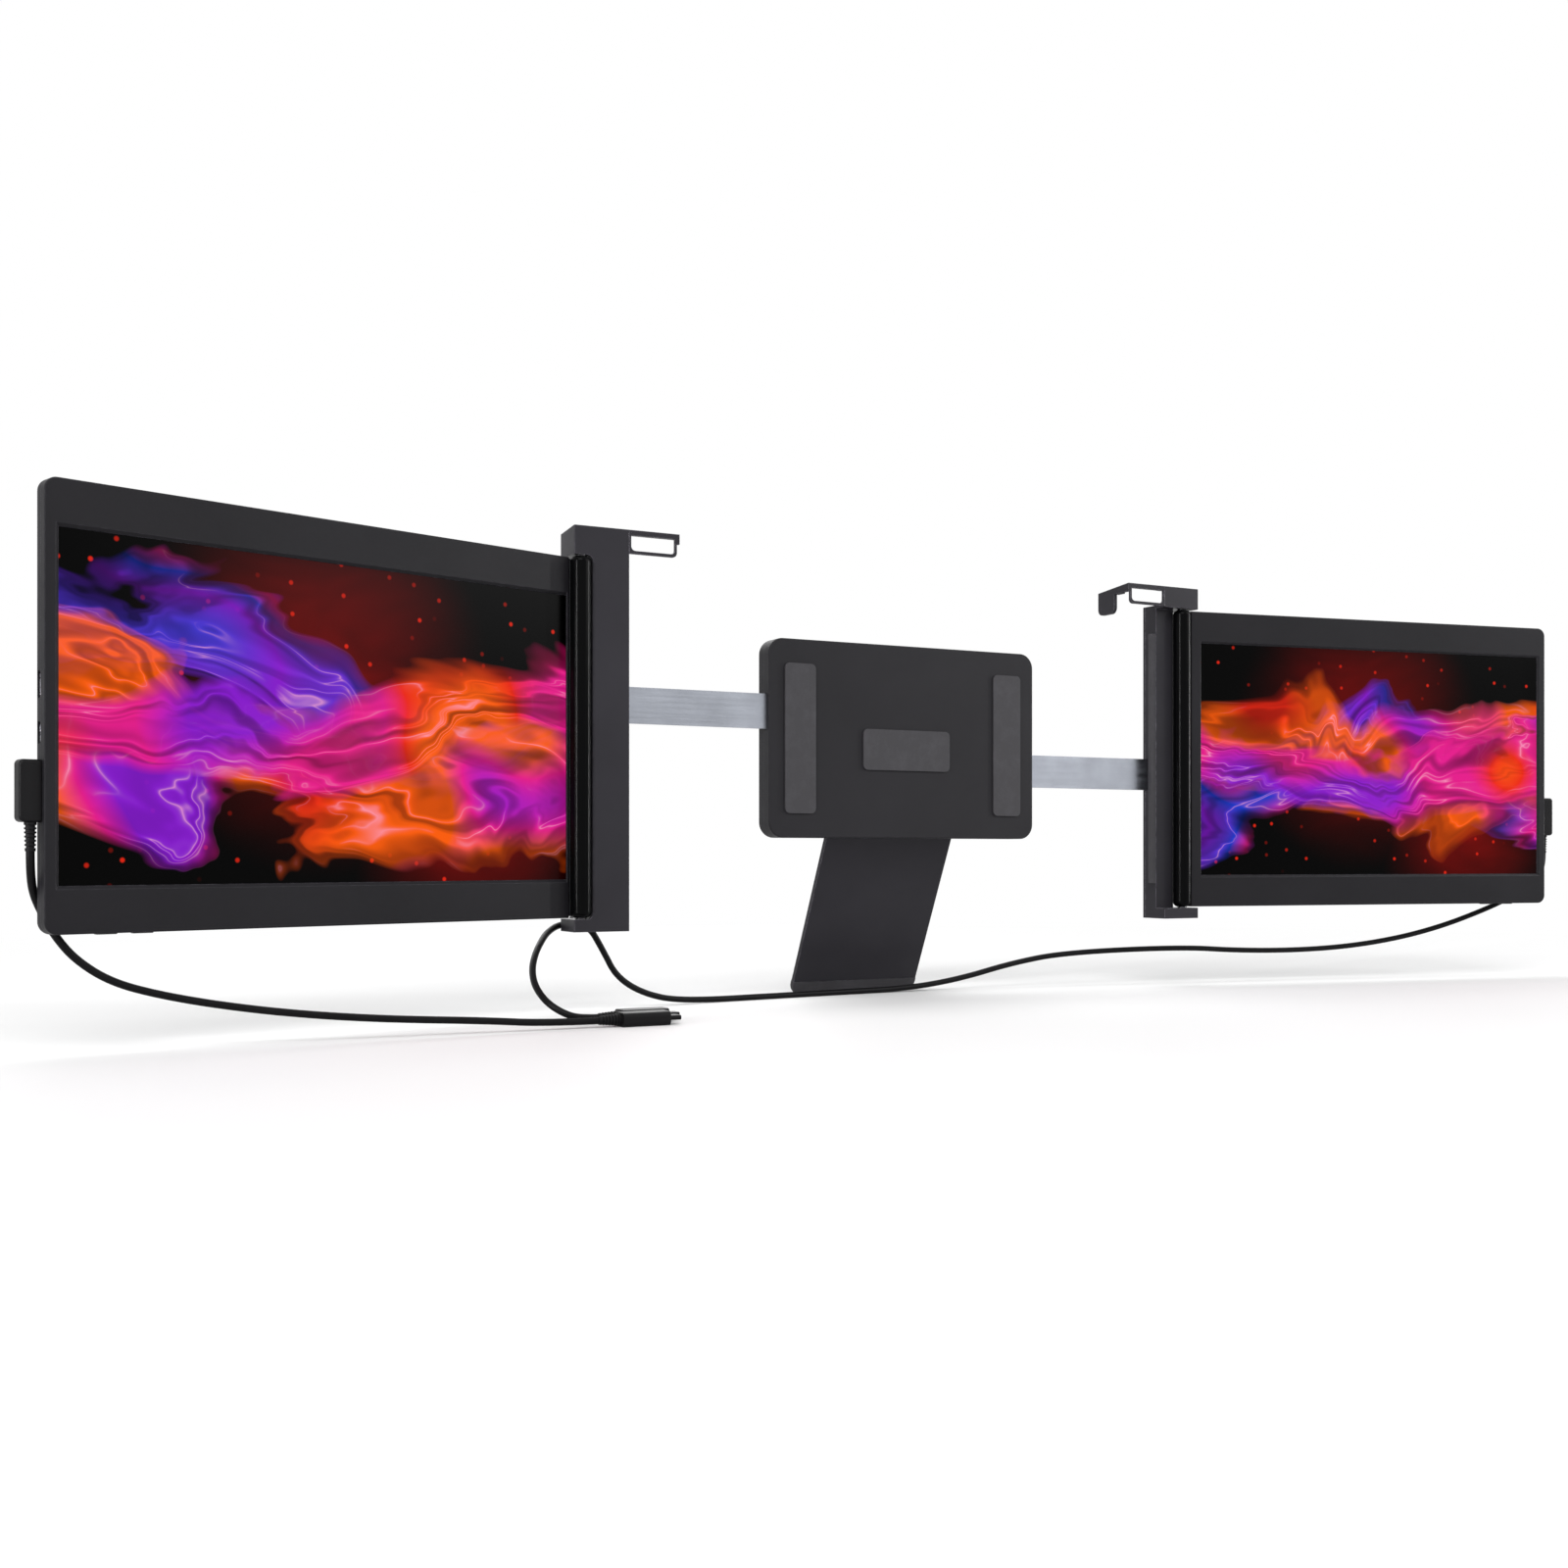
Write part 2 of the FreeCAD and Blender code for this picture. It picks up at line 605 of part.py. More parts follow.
def bracket_casing(side):
    front = COLUMN_FRONT_Y[side]
    column = box(CASE_IN, COLUMN_OUT[side], front, CASE_BACK_Y, FOOT_TOP, BLOCK_BOTTOM)
    column = round_edges(column, COLUMN_EDGE_R[side],
                         lambda b: flat(b.XMin, b.XMax) and flat(b.YMin, b.YMax) and b.YMax < front + 1e-3
                         and b.XMin > CASE_IN + 1)
    near = CASE_FRONT_Y[side]
    far = CASE_OUT[side]
    block = box(CASE_IN, far, near, CASE_BACK_Y, BLOCK_BOTTOM, BLOCK_TOP[side])
    block = block.cut(top_slope(side, CASE_IN - 1, far + 1, CASE_BACK_Y))
    block = round_edges(block, 0.6, lambda b: flat(b.XMin, b.XMax) and flat(b.YMin, b.YMax)
                        and b.YMax < near + 1e-3 and b.XMin > far - 1)
    foot = box(CASE_IN, far, near, CASE_BACK_Y, FOOT_BOTTOM, FOOT_TOP)
    foot = round_edges(foot, 0.6, lambda b: flat(b.XMin, b.XMax) and flat(b.YMin, b.YMax)
                       and b.YMax < near + 1e-3 and b.XMin > far - 1)
    whole = fuse(column, block, foot, *notch_rounds(side))
    pocket = box(CASE_IN + CASE_WALL, COLUMN_OUT[side] - CASE_WALL, COLUMN_FRONT_Y[side] + CASE_WALL,
                 CASE_BACK_Y + 1, FOOT_TOP + CASE_WALL, BLOCK_BOTTOM - CASE_WALL)
    slot = box(CASE_IN - 1, CASE_IN + CASE_WALL + 0.1, ARM_Y - 0.3, CASE_BACK_Y + 1,
               ARM_Z[side] - ARM_H / 2 - 0.3, ARM_Z[side] + ARM_H / 2 + 0.3)
    tongue = hook_tongue(side, FIT)
    x = HINGE_X[side]
    y = HINGE_Y[side]
    pin_hole = rod(PIN_R, Vector(x, y, FOOT_BOTTOM + 1.5), Vector(x, y, BLOCK_TOP[side] - 5.0))
    whole = cut(whole, pocket, slot, tongue, pin_hole, rear_bevel(side), *block_relief(side))
    inner_front = COLUMN_FRONT_Y[side] + CASE_WALL
    plate_z = ARM_PLATE_HALF_H
    bosses = []
    for bx, bz in bracket_screw_points(side):
        reach = ARM_Y if abs(bz) < plate_z else CASE_BACK_Y
        bosses.append(rod(BOSS_R, Vector(bx, inner_front - 0.1, bz), Vector(bx, reach, bz)))
    whole = fuse(whole, *bosses)
    holes = [rod(SCREW_R, Vector(bx, ARM_Y - 4, bz), Vector(bx, CASE_BACK_Y + 1, bz))
             for bx, bz in bracket_screw_points(side)]
    return on_side(cut(whole, *holes), side)


def bracket_cover(side):
    """The rear shell of the bracket, with the cable clip on the left one."""
    back = CASE_BACK_Y + COVER_T
    plate = box(CASE_IN, COLUMN_OUT[side], CASE_BACK_Y, back, FOOT_BOTTOM, BLOCK_TOP[side])
    cap = box(CASE_IN, CASE_OUT[side], CASE_BACK_Y, back, BLOCK_BOTTOM, BLOCK_TOP[side])
    heel = box(CASE_IN, CASE_OUT[side], CASE_BACK_Y, back, FOOT_BOTTOM, FOOT_TOP)
    whole = fuse(plate, cap, heel)
    tools = [top_slope(side, CASE_IN - 1, CASE_OUT[side] + 1, back), rear_bevel(side)]
    tools += block_relief(side)
    for x, z in bracket_screw_points(side):
        tools.append(rod(SCREW_R, Vector(x, CASE_BACK_Y - 1, z), Vector(x, back + 1, z)))
        tools.append(rod(SCREW_HEAD_R, Vector(x, back - SCREW_HEAD_T, z), Vector(x, back + 1, z)))
    if side == "left":
        start = Vector(-CLIP_X - CLIP_L / 2, CLIP_Y, CLIP_Z)
        end = Vector(-CLIP_X + CLIP_L / 2, CLIP_Y, CLIP_Z)
        ring = rod(CLIP_R + CLIP_WALL, start, end)
        neck = box(start.x, end.x, CASE_BACK_Y + 0.5, CLIP_Y - CLIP_R, CLIP_Z - 1.5, CLIP_Z + 1.5)
        whole = fuse(whole, ring, neck)
        tools.append(rod(CLIP_R, start - Vector(1, 0, 0), end + Vector(1, 0, 0)))
        tools.append(box(start.x - 1, end.x + 1, CLIP_Y, CLIP_Y + CLIP_R + CLIP_WALL + 1,
                         CLIP_Z - 1.1, CLIP_Z + 1.1))
    return on_side(cut(whole, *tools), side)


def bracket_screws(side):
    back = CASE_BACK_Y + COVER_T
    group = [screw(Vector(x, back, z), ARM_Y - 3.5) for x, z in bracket_screw_points(side)]
    return on_side(Part.makeCompound(group), side)


def hook_tongue(side, grow):
    """The tongue that holds the hook in its block."""
    z = BLOCK_TOP[side] - TONGUE_DROP
    y = CASE_FRONT_Y[side] + TONGUE_SETBACK
    return box(CASE_IN - 2.5, CASE_IN + TONGUE_L + grow, y - grow, y + TONGUE_D + grow,
               z - grow, z + TONGUE_H + grow)


def hook_ring(side):
    """The ring in front of the lid, with its window."""
    x0 = CASE_IN - HOOK_REACH
    y0 = CASE_FRONT_Y[side]
    band_under = BLOCK_TOP[side] - ROOF_T
    bottom = band_under - WINDOW_H - RING_BOTTOM
    ring = box(x0 + LIP_W - RING_SIDE, CASE_IN, y0, y0 + RING_T, bottom, band_under + 0.3)
    ring = round_edges(ring, WINDOW_R, lambda b: flat(b.XMin, b.XMax) and flat(b.ZMin, b.ZMax)
                       and b.ZMax < bottom + 0.01 and b.XMax < CASE_IN - 1)
    window_bottom = bottom + RING_BOTTOM
    window = box(x0 + LIP_W, CASE_IN - RING_SIDE, y0 - 1, y0 + RING_T + 1, window_bottom, band_under)
    window = round_edges(window, WINDOW_R, lambda b: flat(b.XMin, b.XMax) and flat(b.ZMin, b.ZMax)
                         and b.ZMax < window_bottom + 0.01)
    return ring.cut(window)


def left_hook_rear(top, leg_bottom):
    """A gusset over the lid beside the block, with a leg behind the lid."""
    y0 = CASE_FRONT_Y["left"]
    x = CASE_IN - GUSSET_W
    end_y = LID_FACE_Y + 1 + REAR_LEG_T
    points = [Vector(CASE_IN, y0, ROOF_PAD_TOP_Z),
              Vector(CASE_IN - RING_SIDE, y0 + RING_T, ROOF_PAD_TOP_Z),
              Vector(x, LID_FACE_Y - 1, ROOF_PAD_TOP_Z),
              Vector(x, end_y, ROOF_PAD_TOP_Z),
              Vector(CASE_IN, end_y, ROOF_PAD_TOP_Z),
              Vector(CASE_IN, y0, ROOF_PAD_TOP_Z)]
    gusset = Part.Face(Part.makePolygon(points)).extrude(Vector(0, 0, top - ROOF_PAD_TOP_Z))
    leg = box(x, CASE_IN, LID_FACE_Y + 1, end_y, leg_bottom, ROOF_PAD_TOP_Z + 1)
    return [gusset, leg]


def right_hook_rear(top, leg_bottom):
    """An arm over the lid from the hook's inner end, with a leg behind the lid."""
    x0 = CASE_IN - HOOK_REACH
    x1 = x0 + REAR_LEG_W
    over = box(x0, x1, CASE_FRONT_Y["right"], REAR_LEG_END_Y, ROOF_PAD_TOP_Z, top)
    leg = box(x0, x1, LID_FACE_Y + 1.0, REAR_LEG_END_Y, leg_bottom, ROOF_PAD_TOP_Z + 1)
    leg = round_edges(leg, 4.0, lambda b: flat(b.YMin, b.YMax) and flat(b.ZMin, b.ZMax)
                      and b.ZMax < leg_bottom + 0.01)
    return [over, leg]


def hook_arm(side):
    """The hook: a ring in front of the lid, a part over it and a leg behind it."""
    x0 = CASE_IN - HOOK_REACH
    y0 = CASE_FRONT_Y[side]
    top = BLOCK_TOP[side]
    band = box(x0, CASE_IN, y0, y0 + BAND_D, top - ROOF_T, top)
    lip = box(x0, x0 + LIP_W, y0, y0 + RING_T, top - LIP_DROP, top)
    rear = left_hook_rear if side == "left" else right_hook_rear
    parts = rear(top, top - REAR_LEG_DROP)
    hook = fuse(band, hook_ring(side), lip, hook_tongue(side, 0), *parts)
    hook = hook.cut(top_slope(side, x0 - 1, CASE_IN + 0.001, REAR_LEG_END_Y))
    return on_side(hook, side)


def lid_pads(side):
    """Silicone strips where the bracket touches the lid."""
    front = max(COLUMN_FRONT_Y[side] + 0.3, -9.0)
    side_pad = box(CASE_IN - SIDE_PAD_T, CASE_IN, front, LID_FACE_Y - 0.5,
                   -SIDE_PAD_HALF_H, SIDE_PAD_HALF_H)
    side_pad = round_edges(side_pad, 0.6, lambda b: b.XMax < CASE_IN - SIDE_PAD_T + 0.01)
    roof_x0 = CASE_IN - GUSSET_W + 2.2
    roof_x1 = CASE_IN - 0.5
    if side == "right":
        roof_x0 = CASE_IN - HOOK_REACH + 0.2
        roof_x1 = roof_x0 + REAR_LEG_W - 0.4
    roof_pad = box(roof_x0, roof_x1, ROOF_PAD_FRONT_Y, ROOF_PAD_REAR_Y, LID_TOP_Z, ROOF_PAD_TOP_Z)
    return on_side(Part.makeCompound([side_pad, roof_pad]), side)


def slide_arm(side):
    """A steel strap that slides in the housing and ends in a plate in the bracket."""
    z0 = ARM_Z[side] - ARM_H / 2
    z1 = ARM_Z[side] + ARM_H / 2
    y0 = ARM_Y
    y1 = ARM_Y + ARM_T
    plate_x0 = CASE_IN + ARM_PLATE_INSET
    plate_x1 = COLUMN_OUT[side] - ARM_PLATE_INSET
    strap = box(ARM_INNER, plate_x0 + 1, y0, y1, z0, z1)
    plate = box(plate_x0, plate_x1, y0, y1, -ARM_PLATE_HALF_H, ARM_PLATE_HALF_H)
    plate = round_edges(plate, 2.0, lambda b: flat(b.XMin, b.XMax) and flat(b.ZMin, b.ZMax))
    tab_z = spring_z(side)
    edge = z1 if tab_z > ARM_Z[side] else z0
    tab = box(ARM_INNER, ARM_INNER + TAB_L, y0, y1,
              min(edge, tab_z - 2.4) - 0.01, max(edge, tab_z + 2.4) + 0.01)
    arm = fuse(strap, plate, tab)
    holes = [rod(SCREW_R, Vector(x, y0 - 1, z), Vector(x, y1 + 1, z))
             for x, z in bracket_screw_points(side) if abs(z) < ARM_PLATE_HALF_H]
    return on_side(cut(arm, *holes), side)


def spring_z(side):
    step = ARM_H / 2 + SPRING_OFFSET_Z
    return ARM_Z[side] + (step if side == "left" else -step)


def return_spring(side):
    """The spring that draws the arm in, as its closed outer form with end hooks."""
    y = ARM_Y + ARM_T / 2
    z = spring_z(side)
    x0 = ARM_INNER - 0.3
    x1 = -SPRING_POST_X + 2.3
    body = rod(SPRING_R, Vector(x0 - 3, y, z), Vector(x1 + 3, y, z))
    bore = rod(SPRING_BORE_R, Vector(x0 - 3.8, y, z), Vector(x1 + 3.8, y, z))
    near = rod(0.6, Vector(x0, y, z), Vector(x0 - 3.5, y, z))
    far = rod(0.6, Vector(x1, y, z), Vector(x1 + 3.5, y, z))
    return on_side(fuse(body.cut(bore), near, far), side)


def housing_outline(y0, y1, inset=0.0):
    slab = box(-HOUSING_HALF_W + inset, HOUSING_HALF_W - inset, y0, y1,
               HOUSING_BOTTOM_Z + inset, HOUSING_TOP_Z - inset)
    return round_edges(slab, HOUSING_CORNER_R - inset,
                       lambda b: flat(b.XMin, b.XMax) and flat(b.ZMin, b.ZMax))


def housing_screw_points():
    x = HOUSING_HALF_W - 9
    high = HOUSING_TOP_Z - 9
    low = HOUSING_BOTTOM_Z + 9
    return [(-x, high), (x, high), (-x, low), (x, low)]


def arm_slots(half_gap):
    """Where the two straps leave the housing, one on each side."""
    slots = []
    for side in SIDES:
        z0 = ARM_Z[side] - ARM_H / 2 - half_gap
        z1 = ARM_Z[side] + ARM_H / 2 + half_gap
        slot = box(HOUSING_HALF_W - HOUSING_WALL - 0.1, HOUSING_HALF_W + 1, ARM_Y - half_gap,
                   ARM_Y + ARM_T + half_gap, z0, z1)
        slots.append(on_side(slot, side))
    return slots


def housing_front():
    shell = housing_outline(HOUSING_FRONT_Y, HOUSING_SPLIT_Y)
    front = HOUSING_FRONT_Y
    shell = round_edges(shell, 0.8, lambda b: b.YMax < front + 0.01)
    hollow = housing_outline(HOUSING_FRONT_Y + HOUSING_WALL, HOUSING_SPLIT_Y, HOUSING_WALL)
    shell = cut(shell, hollow, *arm_slots(0.3))
    inner = HOUSING_FRONT_Y + HOUSING_WALL
    bosses = [rod(BOSS_R + 0.6, Vector(x, inner - 0.1, z), Vector(x, HOUSING_SPLIT_Y, z))
              for x, z in housing_screw_points()]
    posts = []
    for side in SIDES:
        x = SPRING_POST_X if side == "left" else -SPRING_POST_X
        z = spring_z(side)
        posts.append(rod(2.0, Vector(x, inner - 0.1, z), Vector(x, HOUSING_SPLIT_Y - 0.4, z)))
    shell = fuse(shell, *bosses, *posts)
    holes = [rod(SCREW_R, Vector(x, inner + 1, z), Vector(x, HOUSING_SPLIT_Y + 1, z))
             for x, z in housing_screw_points()]
    return cut(shell, *holes)


def housing_rear():
    """The rear shell, with a shallow recess and the lugs of the kickstand."""
    shell = housing_outline(HOUSING_SPLIT_Y, HOUSING_BACK_Y)
    back = HOUSING_BACK_Y
    shell = round_edges(shell, HOUSING_EDGE_R, lambda b: b.YMin > back - 0.01)
    hollow = housing_outline(HOUSING_SPLIT_Y, HOUSING_BACK_Y - HOUSING_WALL, HOUSING_WALL)
    shell = cut(shell, hollow)
    inner = HOUSING_BACK_Y - HOUSING_WALL
    bosses = [rod(BOSS_R + 0.6, Vector(x, HOUSING_SPLIT_Y, z), Vector(x, inner + 0.1, z))
              for x, z in housing_screw_points()]
    ribs = []
    for side in SIDES:
        rib = box(HOUSING_HALF_W - HOUSING_WALL - GUIDE_L + 3, HOUSING_HALF_W - HOUSING_WALL - 3,
                  guide_back() + FIT, inner + 0.1, ARM_Z[side] - 2, ARM_Z[side] + 2)
        ribs.append(on_side(rib, side))
    lugs = []
    for x in (-STAND_HALF_W - LUG_GAP - LUG_L, STAND_HALF_W + LUG_GAP):
        lug = box(x, x + LUG_L, back - 1, STAND_PIVOT_Y, STAND_PIVOT_Z - STAND_KNUCKLE_R,
                  STAND_PIVOT_Z + STAND_KNUCKLE_R)
        nose = rod(STAND_KNUCKLE_R, Vector(x, STAND_PIVOT_Y, STAND_PIVOT_Z),
                   Vector(x + LUG_L, STAND_PIVOT_Y, STAND_PIVOT_Z))
        lugs.append(fuse(lug, nose))
    shell = fuse(shell, *bosses, *ribs, *lugs)
    tools = [rod(STAND_PIN_R, Vector(-STAND_HALF_W - LUG_GAP - LUG_L - 1, STAND_PIVOT_Y, STAND_PIVOT_Z),
                 Vector(STAND_HALF_W + LUG_GAP + LUG_L + 1, STAND_PIVOT_Y, STAND_PIVOT_Z))]
    for x, z in housing_screw_points():
        tools.append(rod(SCREW_R, Vector(x, HOUSING_SPLIT_Y - 1, z), Vector(x, back + 1, z)))
        tools.append(rod(SCREW_HEAD_R, Vector(x, back - SCREW_HEAD_T, z), Vector(x, back + 1, z)))
    tools.append(finger_notch())
    return cut(shell, *tools)


def finger_notch():
    """A scoop above the stowed kickstand, where a finger lifts it."""
    z = STAND_PIVOT_Z + stand_length() - 4
    return Part.makeSphere(14.0, Vector(0, HOUSING_BACK_Y + 12.9, z))


def guide_back():
    return ARM_Y + ARM_T + 1.6


def guide_blocks():
    """Two slippery blocks at the housing's mouths, which the straps run through."""
    group = []
    for side in SIDES:
        z0 = ARM_Z[side] - ARM_H / 2
        z1 = ARM_Z[side] + ARM_H / 2
        x1 = HOUSING_HALF_W - HOUSING_WALL
        block = box(x1 - GUIDE_L, x1, HOUSING_FRONT_Y + HOUSING_WALL, guide_back(),
                    z0 - GUIDE_RIM, z1 + GUIDE_RIM)
        slot = box(x1 - GUIDE_L - 1, x1 + 1, ARM_Y - SLIDE_FIT, ARM_Y + ARM_T + SLIDE_FIT,
                   z0 - SLIDE_FIT, z1 + SLIDE_FIT)
        group.append(on_side(block.cut(slot), side))
    return Part.makeCompound(group)


def housing_pads():
    """Silicone pads that lie on the back of the lid."""
    pads = []
    for x0, x1, z0, z1 in ((-30, 30, -12, 12), (-82, -62, -38, 48), (62, 82, -38, 48)):
        pad = box(x0, x1, LID_FACE_Y, HOUSING_FRONT_Y, z0, z1)
        pads.append(round_edges(pad, 3.0, lambda b: flat(b.XMin, b.XMax) and flat(b.ZMin, b.ZMax)))
    return Part.makeCompound(pads)


def housing_screws():
    group = [screw(Vector(x, HOUSING_BACK_Y, z), HOUSING_FRONT_Y + HOUSING_WALL + 1.2)
             for x, z in housing_screw_points()]
    return Part.makeCompound(group)


def stand_length():
    return (STAND_PIVOT_Z - DESK_Z - 0.5) / math.cos(math.radians(STAND_TURN))


def turn_stand(shape):
    """From hanging straight down to the open angle, foot to the back."""
    turned = shape.copy()
    turned.rotate(Vector(0, STAND_PIVOT_Y, STAND_PIVOT_Z), Vector(1, 0, 0), STAND_TURN)
    return turned


def kickstand():
    end = STAND_PIVOT_Z - stand_length() + STAND_FOOT_H
    y0 = STAND_PIVOT_Y - STAND_T / 2
    plate = box(-STAND_HALF_W, STAND_HALF_W, y0, y0 + STAND_T, end, STAND_PIVOT_Z)
    barrel = rod(STAND_KNUCKLE_R, Vector(-STAND_HALF_W, STAND_PIVOT_Y, STAND_PIVOT_Z),
                 Vector(STAND_HALF_W, STAND_PIVOT_Y, STAND_PIVOT_Z))
    recess = box(-STAND_HALF_W + 9, STAND_HALF_W - 9, y0 + STAND_T - 0.8, y0 + STAND_T + 1,
                 end + 10, STAND_PIVOT_Z - 16)
    recess = round_edges(recess, 5.0, lambda b: flat(b.XMin, b.XMax) and flat(b.ZMin, b.ZMax))
    bore = rod(STAND_PIN_R + PIN_RUNNING, Vector(-STAND_HALF_W - 1, STAND_PIVOT_Y, STAND_PIVOT_Z),
               Vector(STAND_HALF_W + 1, STAND_PIVOT_Y, STAND_PIVOT_Z))
    whole = fuse(plate, barrel)
    return turn_stand(cut(whole, recess, bore))


def kickstand_foot():
    """The rubber strip along the lower edge, cut flat where it meets the desk."""
    end = STAND_PIVOT_Z - stand_length()
    y0 = STAND_PIVOT_Y - STAND_T / 2
    strip = box(-STAND_HALF_W, STAND_HALF_W, y0 - 0.4, y0 + STAND_T + 0.4, end - 3, end + STAND_FOOT_H)
    strip = round_edges(strip, STAND_CORNER_R, lambda b: flat(b.XMin, b.XMax) and flat(b.ZMin, b.ZMax)
                        and b.ZMax < end)
    turned = turn_stand(strip)
    under = box(-STAND_HALF_W - 1, STAND_HALF_W + 1, -200, 200, DESK_Z - 30, DESK_Z)
    return turned.cut(under)


def kickstand_pin():
    reach = STAND_HALF_W + LUG_GAP + LUG_L
    start = Vector(-reach, STAND_PIVOT_Y, STAND_PIVOT_Z)
    end = Vector(reach, STAND_PIVOT_Y, STAND_PIVOT_Z)
    return rod(STAND_PIN_R, start, end)


def plug_body(side):
    """The right-angle plug in the monitor's outer edge, with its steel tip."""
    face = FACE_SETBACK[side]
    outer = screen_span(side)[2]
    level = face + SOCKET_LEVEL
    middle = face + PLUG_LEVEL
    u0 = outer + 0.2
    body = box(u0, u0 + PLUG_OUT, middle - PLUG_W / 2, middle + PLUG_W / 2, PLUG_TOP_Z - PLUG_H, PLUG_TOP_Z)
    body = round_edges(body, 2.2, lambda b: flat(b.XMin, b.XMax) and flat(b.ZMin, b.ZMax)
                       and b.XMin > u0 + 1)
    body = round_edges(body, 1.2, lambda b: flat(b.XMin, b.XMax) and flat(b.YMin, b.YMax)
                       and b.XMin > u0 + 1)
    z = SOCKET_Z[0]
    tip = stadium(TIP_W, TIP_H, u0 - TIP_L, u0 + 0.2, level, z)
    hollow = stadium(TIP_W - 2 * TIP_WALL, TIP_H - 2 * TIP_WALL, u0 - TIP_L - 1, u0 - 0.6, level, z)
    return fuse(body, tip).cut(hollow)


def plug_boot(side):
    """The ribbed sleeve that eases the cable out of the plug."""
    outer = screen_span(side)[2]
    top = PLUG_TOP_Z - PLUG_H
    centre = Vector(outer + BOOT_OUT, FACE_SETBACK[side] + PLUG_LEVEL, top)
    return ribbed_sleeve(centre, Vector(0, 0, -1), BOOT_L, BOOT_R)


def ribbed_sleeve(start, direction, length, wide):
    """A cone with six rings, as a turned shape about its axis."""
    narrow = BOOT_END_D / 2
    ribs = 6
    pitch = length / (ribs + 1)
    points = [Vector(0, 0, 0), Vector(wide, 0, 0), Vector(wide, 0, pitch * 0.6)]
    for i in range(1, ribs + 1):
        z = i * pitch
        r = wide + (narrow - wide) * z / length
        points.append(Vector(r - 0.5, 0, z - pitch * 0.2))
        points.append(Vector(r - 0.5, 0, z + pitch * 0.2))
        points.append(Vector(r, 0, z + pitch * 0.25))
        points.append(Vector(r, 0, z + pitch * 0.65))
    points[-1] = Vector(narrow, 0, length)
    points.append(Vector(0, 0, length))
    points.append(Vector(0, 0, 0))
    profile = Part.Face(Part.makePolygon(points))
    sleeve = profile.revolve(ORIGIN, UP, 360)
    turn = FreeCAD.Rotation(UP, direction)
    sleeve.Placement = FreeCAD.Placement(start, turn)
    return sleeve


def far_plug(side):
    """The straight plug at the cable's other end, lying on the desk."""
    y = FAR_Y[side]
    x1 = FAR_FRONT_X[side]
    x0 = x1 - FAR_BODY_L
    z = DESK_Z + FAR_W / 2
    body = box(x0, x1, y - FAR_BODY_W / 2, y + FAR_BODY_W / 2, DESK_Z, DESK_Z + FAR_W)
    body = round_edges(body, 2.4, lambda b: flat(b.YMin, b.YMax) and flat(b.ZMin, b.ZMax))
    tip = stadium(TIP_W, TIP_H, x1 - 0.2, x1 + TIP_L, 0, 0)
    hollow = stadium(TIP_W - 2 * TIP_WALL, TIP_H - 2 * TIP_WALL, x1 + 0.6, x1 + TIP_L + 1, 0, 0)
    tip = tip.cut(hollow)
    tip.rotate(ORIGIN, Vector(1, 0, 0), 90)
    tip.translate(Vector(0, y, z))
    return fuse(body, tip)


def far_boot(side):
    return ribbed_sleeve(far_end(side) + Vector(FAR_BOOT_L, 0, 0), Vector(-1, 0, 0), FAR_BOOT_L, FAR_BOOT_R)


def far_end(side):
    """Where the cable enters the sleeve of the plug on the desk."""
    return Vector(FAR_FRONT_X[side] - FAR_BODY_L - FAR_BOOT_L, FAR_Y[side], DESK_Z + FAR_W / 2)


def boot_end(side):
    """Where the cable leaves the monitor's plug, in the rest pose."""
    outer = screen_span(side)[2]
    local = Vector(outer + BOOT_OUT, FACE_SETBACK[side] + PLUG_LEVEL, PLUG_TOP_Z - PLUG_H - BOOT_L)
    turn = math.radians(-REST_TURN[side])
    x = local.x * math.cos(turn) - local.y * math.sin(turn) + HINGE_X[side]
    y = local.x * math.sin(turn) + local.y * math.cos(turn) + HINGE_Y[side]
    return Vector(-x if side == "left" else x, y, local.z)


def tube(name, points):
    """A cable along straight runs joined by tangent arcs, with its radii printed."""
    edges = []
    radii = []
    here = points[0]
    length = 0.0
    for before, corner, after in zip(points, points[1:], points[2:]):
        run_in = corner - before
        run_out = after - corner
        turn = run_in.getAngle(run_out)
        reach = 0.45 * min(run_in.Length, run_out.Length)
        radius = reach / math.tan(turn / 2)
        radii.append(radius)
        way_in = Vector(run_in).normalize()
        way_out = Vector(run_out).normalize()
        arc_start = corner - way_in * reach
        arc_end = corner + way_out * reach
        bisector = (way_out - way_in).normalize()
        centre = corner + bisector * (radius / math.cos(turn / 2))
        middle = centre - bisector * radius
        edges.append(Part.LineSegment(here, arc_start).toShape())
        edges.append(Part.Arc(arc_start, middle, arc_end).toShape())
        length += (arc_start - here).Length + radius * turn
        here = arc_end
    edges.append(Part.LineSegment(here, points[-1]).toShape())
    length += (points[-1] - here).Length
    path = Part.Wire(edges)
    section = Part.Wire([Part.makeCircle(CABLE_D / 2, points[0], points[1] - points[0])])
    solid = path.makePipeShell([section], True, False)
    expected = math.pi * CABLE_D ** 2 / 4 * length
    print(name, "length", round(length, 1), "radii", [round(r, 1) for r in radii],
          "volume ratio", round(solid.Volume / expected, 4))
    return solid


def left_cable():
    start = boot_end("left")
    end = far_end("left")
    points = [start,
              start + Vector(0, 0, -8.5),
              Vector(-481.8, -82.5, -78.2),
              Vector(-477.8, -79.1, -87.0),
              Vector(-473.1, -79.2, -96.1),
              Vector(-465.1, -79.3, -106.3),
              Vector(-451.2, -79.6, -116.1),
              Vector(-431.4, -80.0, -122.4),
              Vector(-404.9, -80.4, -128.1),
              Vector(-372.0, -80.8, -133.2),
              Vector(-332.2, -81.3, -137.2),
              Vector(-284.8, -81.8, -140.0),
              Vector(-257.0, -82.0, -142.5),
              end]
    return tube("left_cable", points)


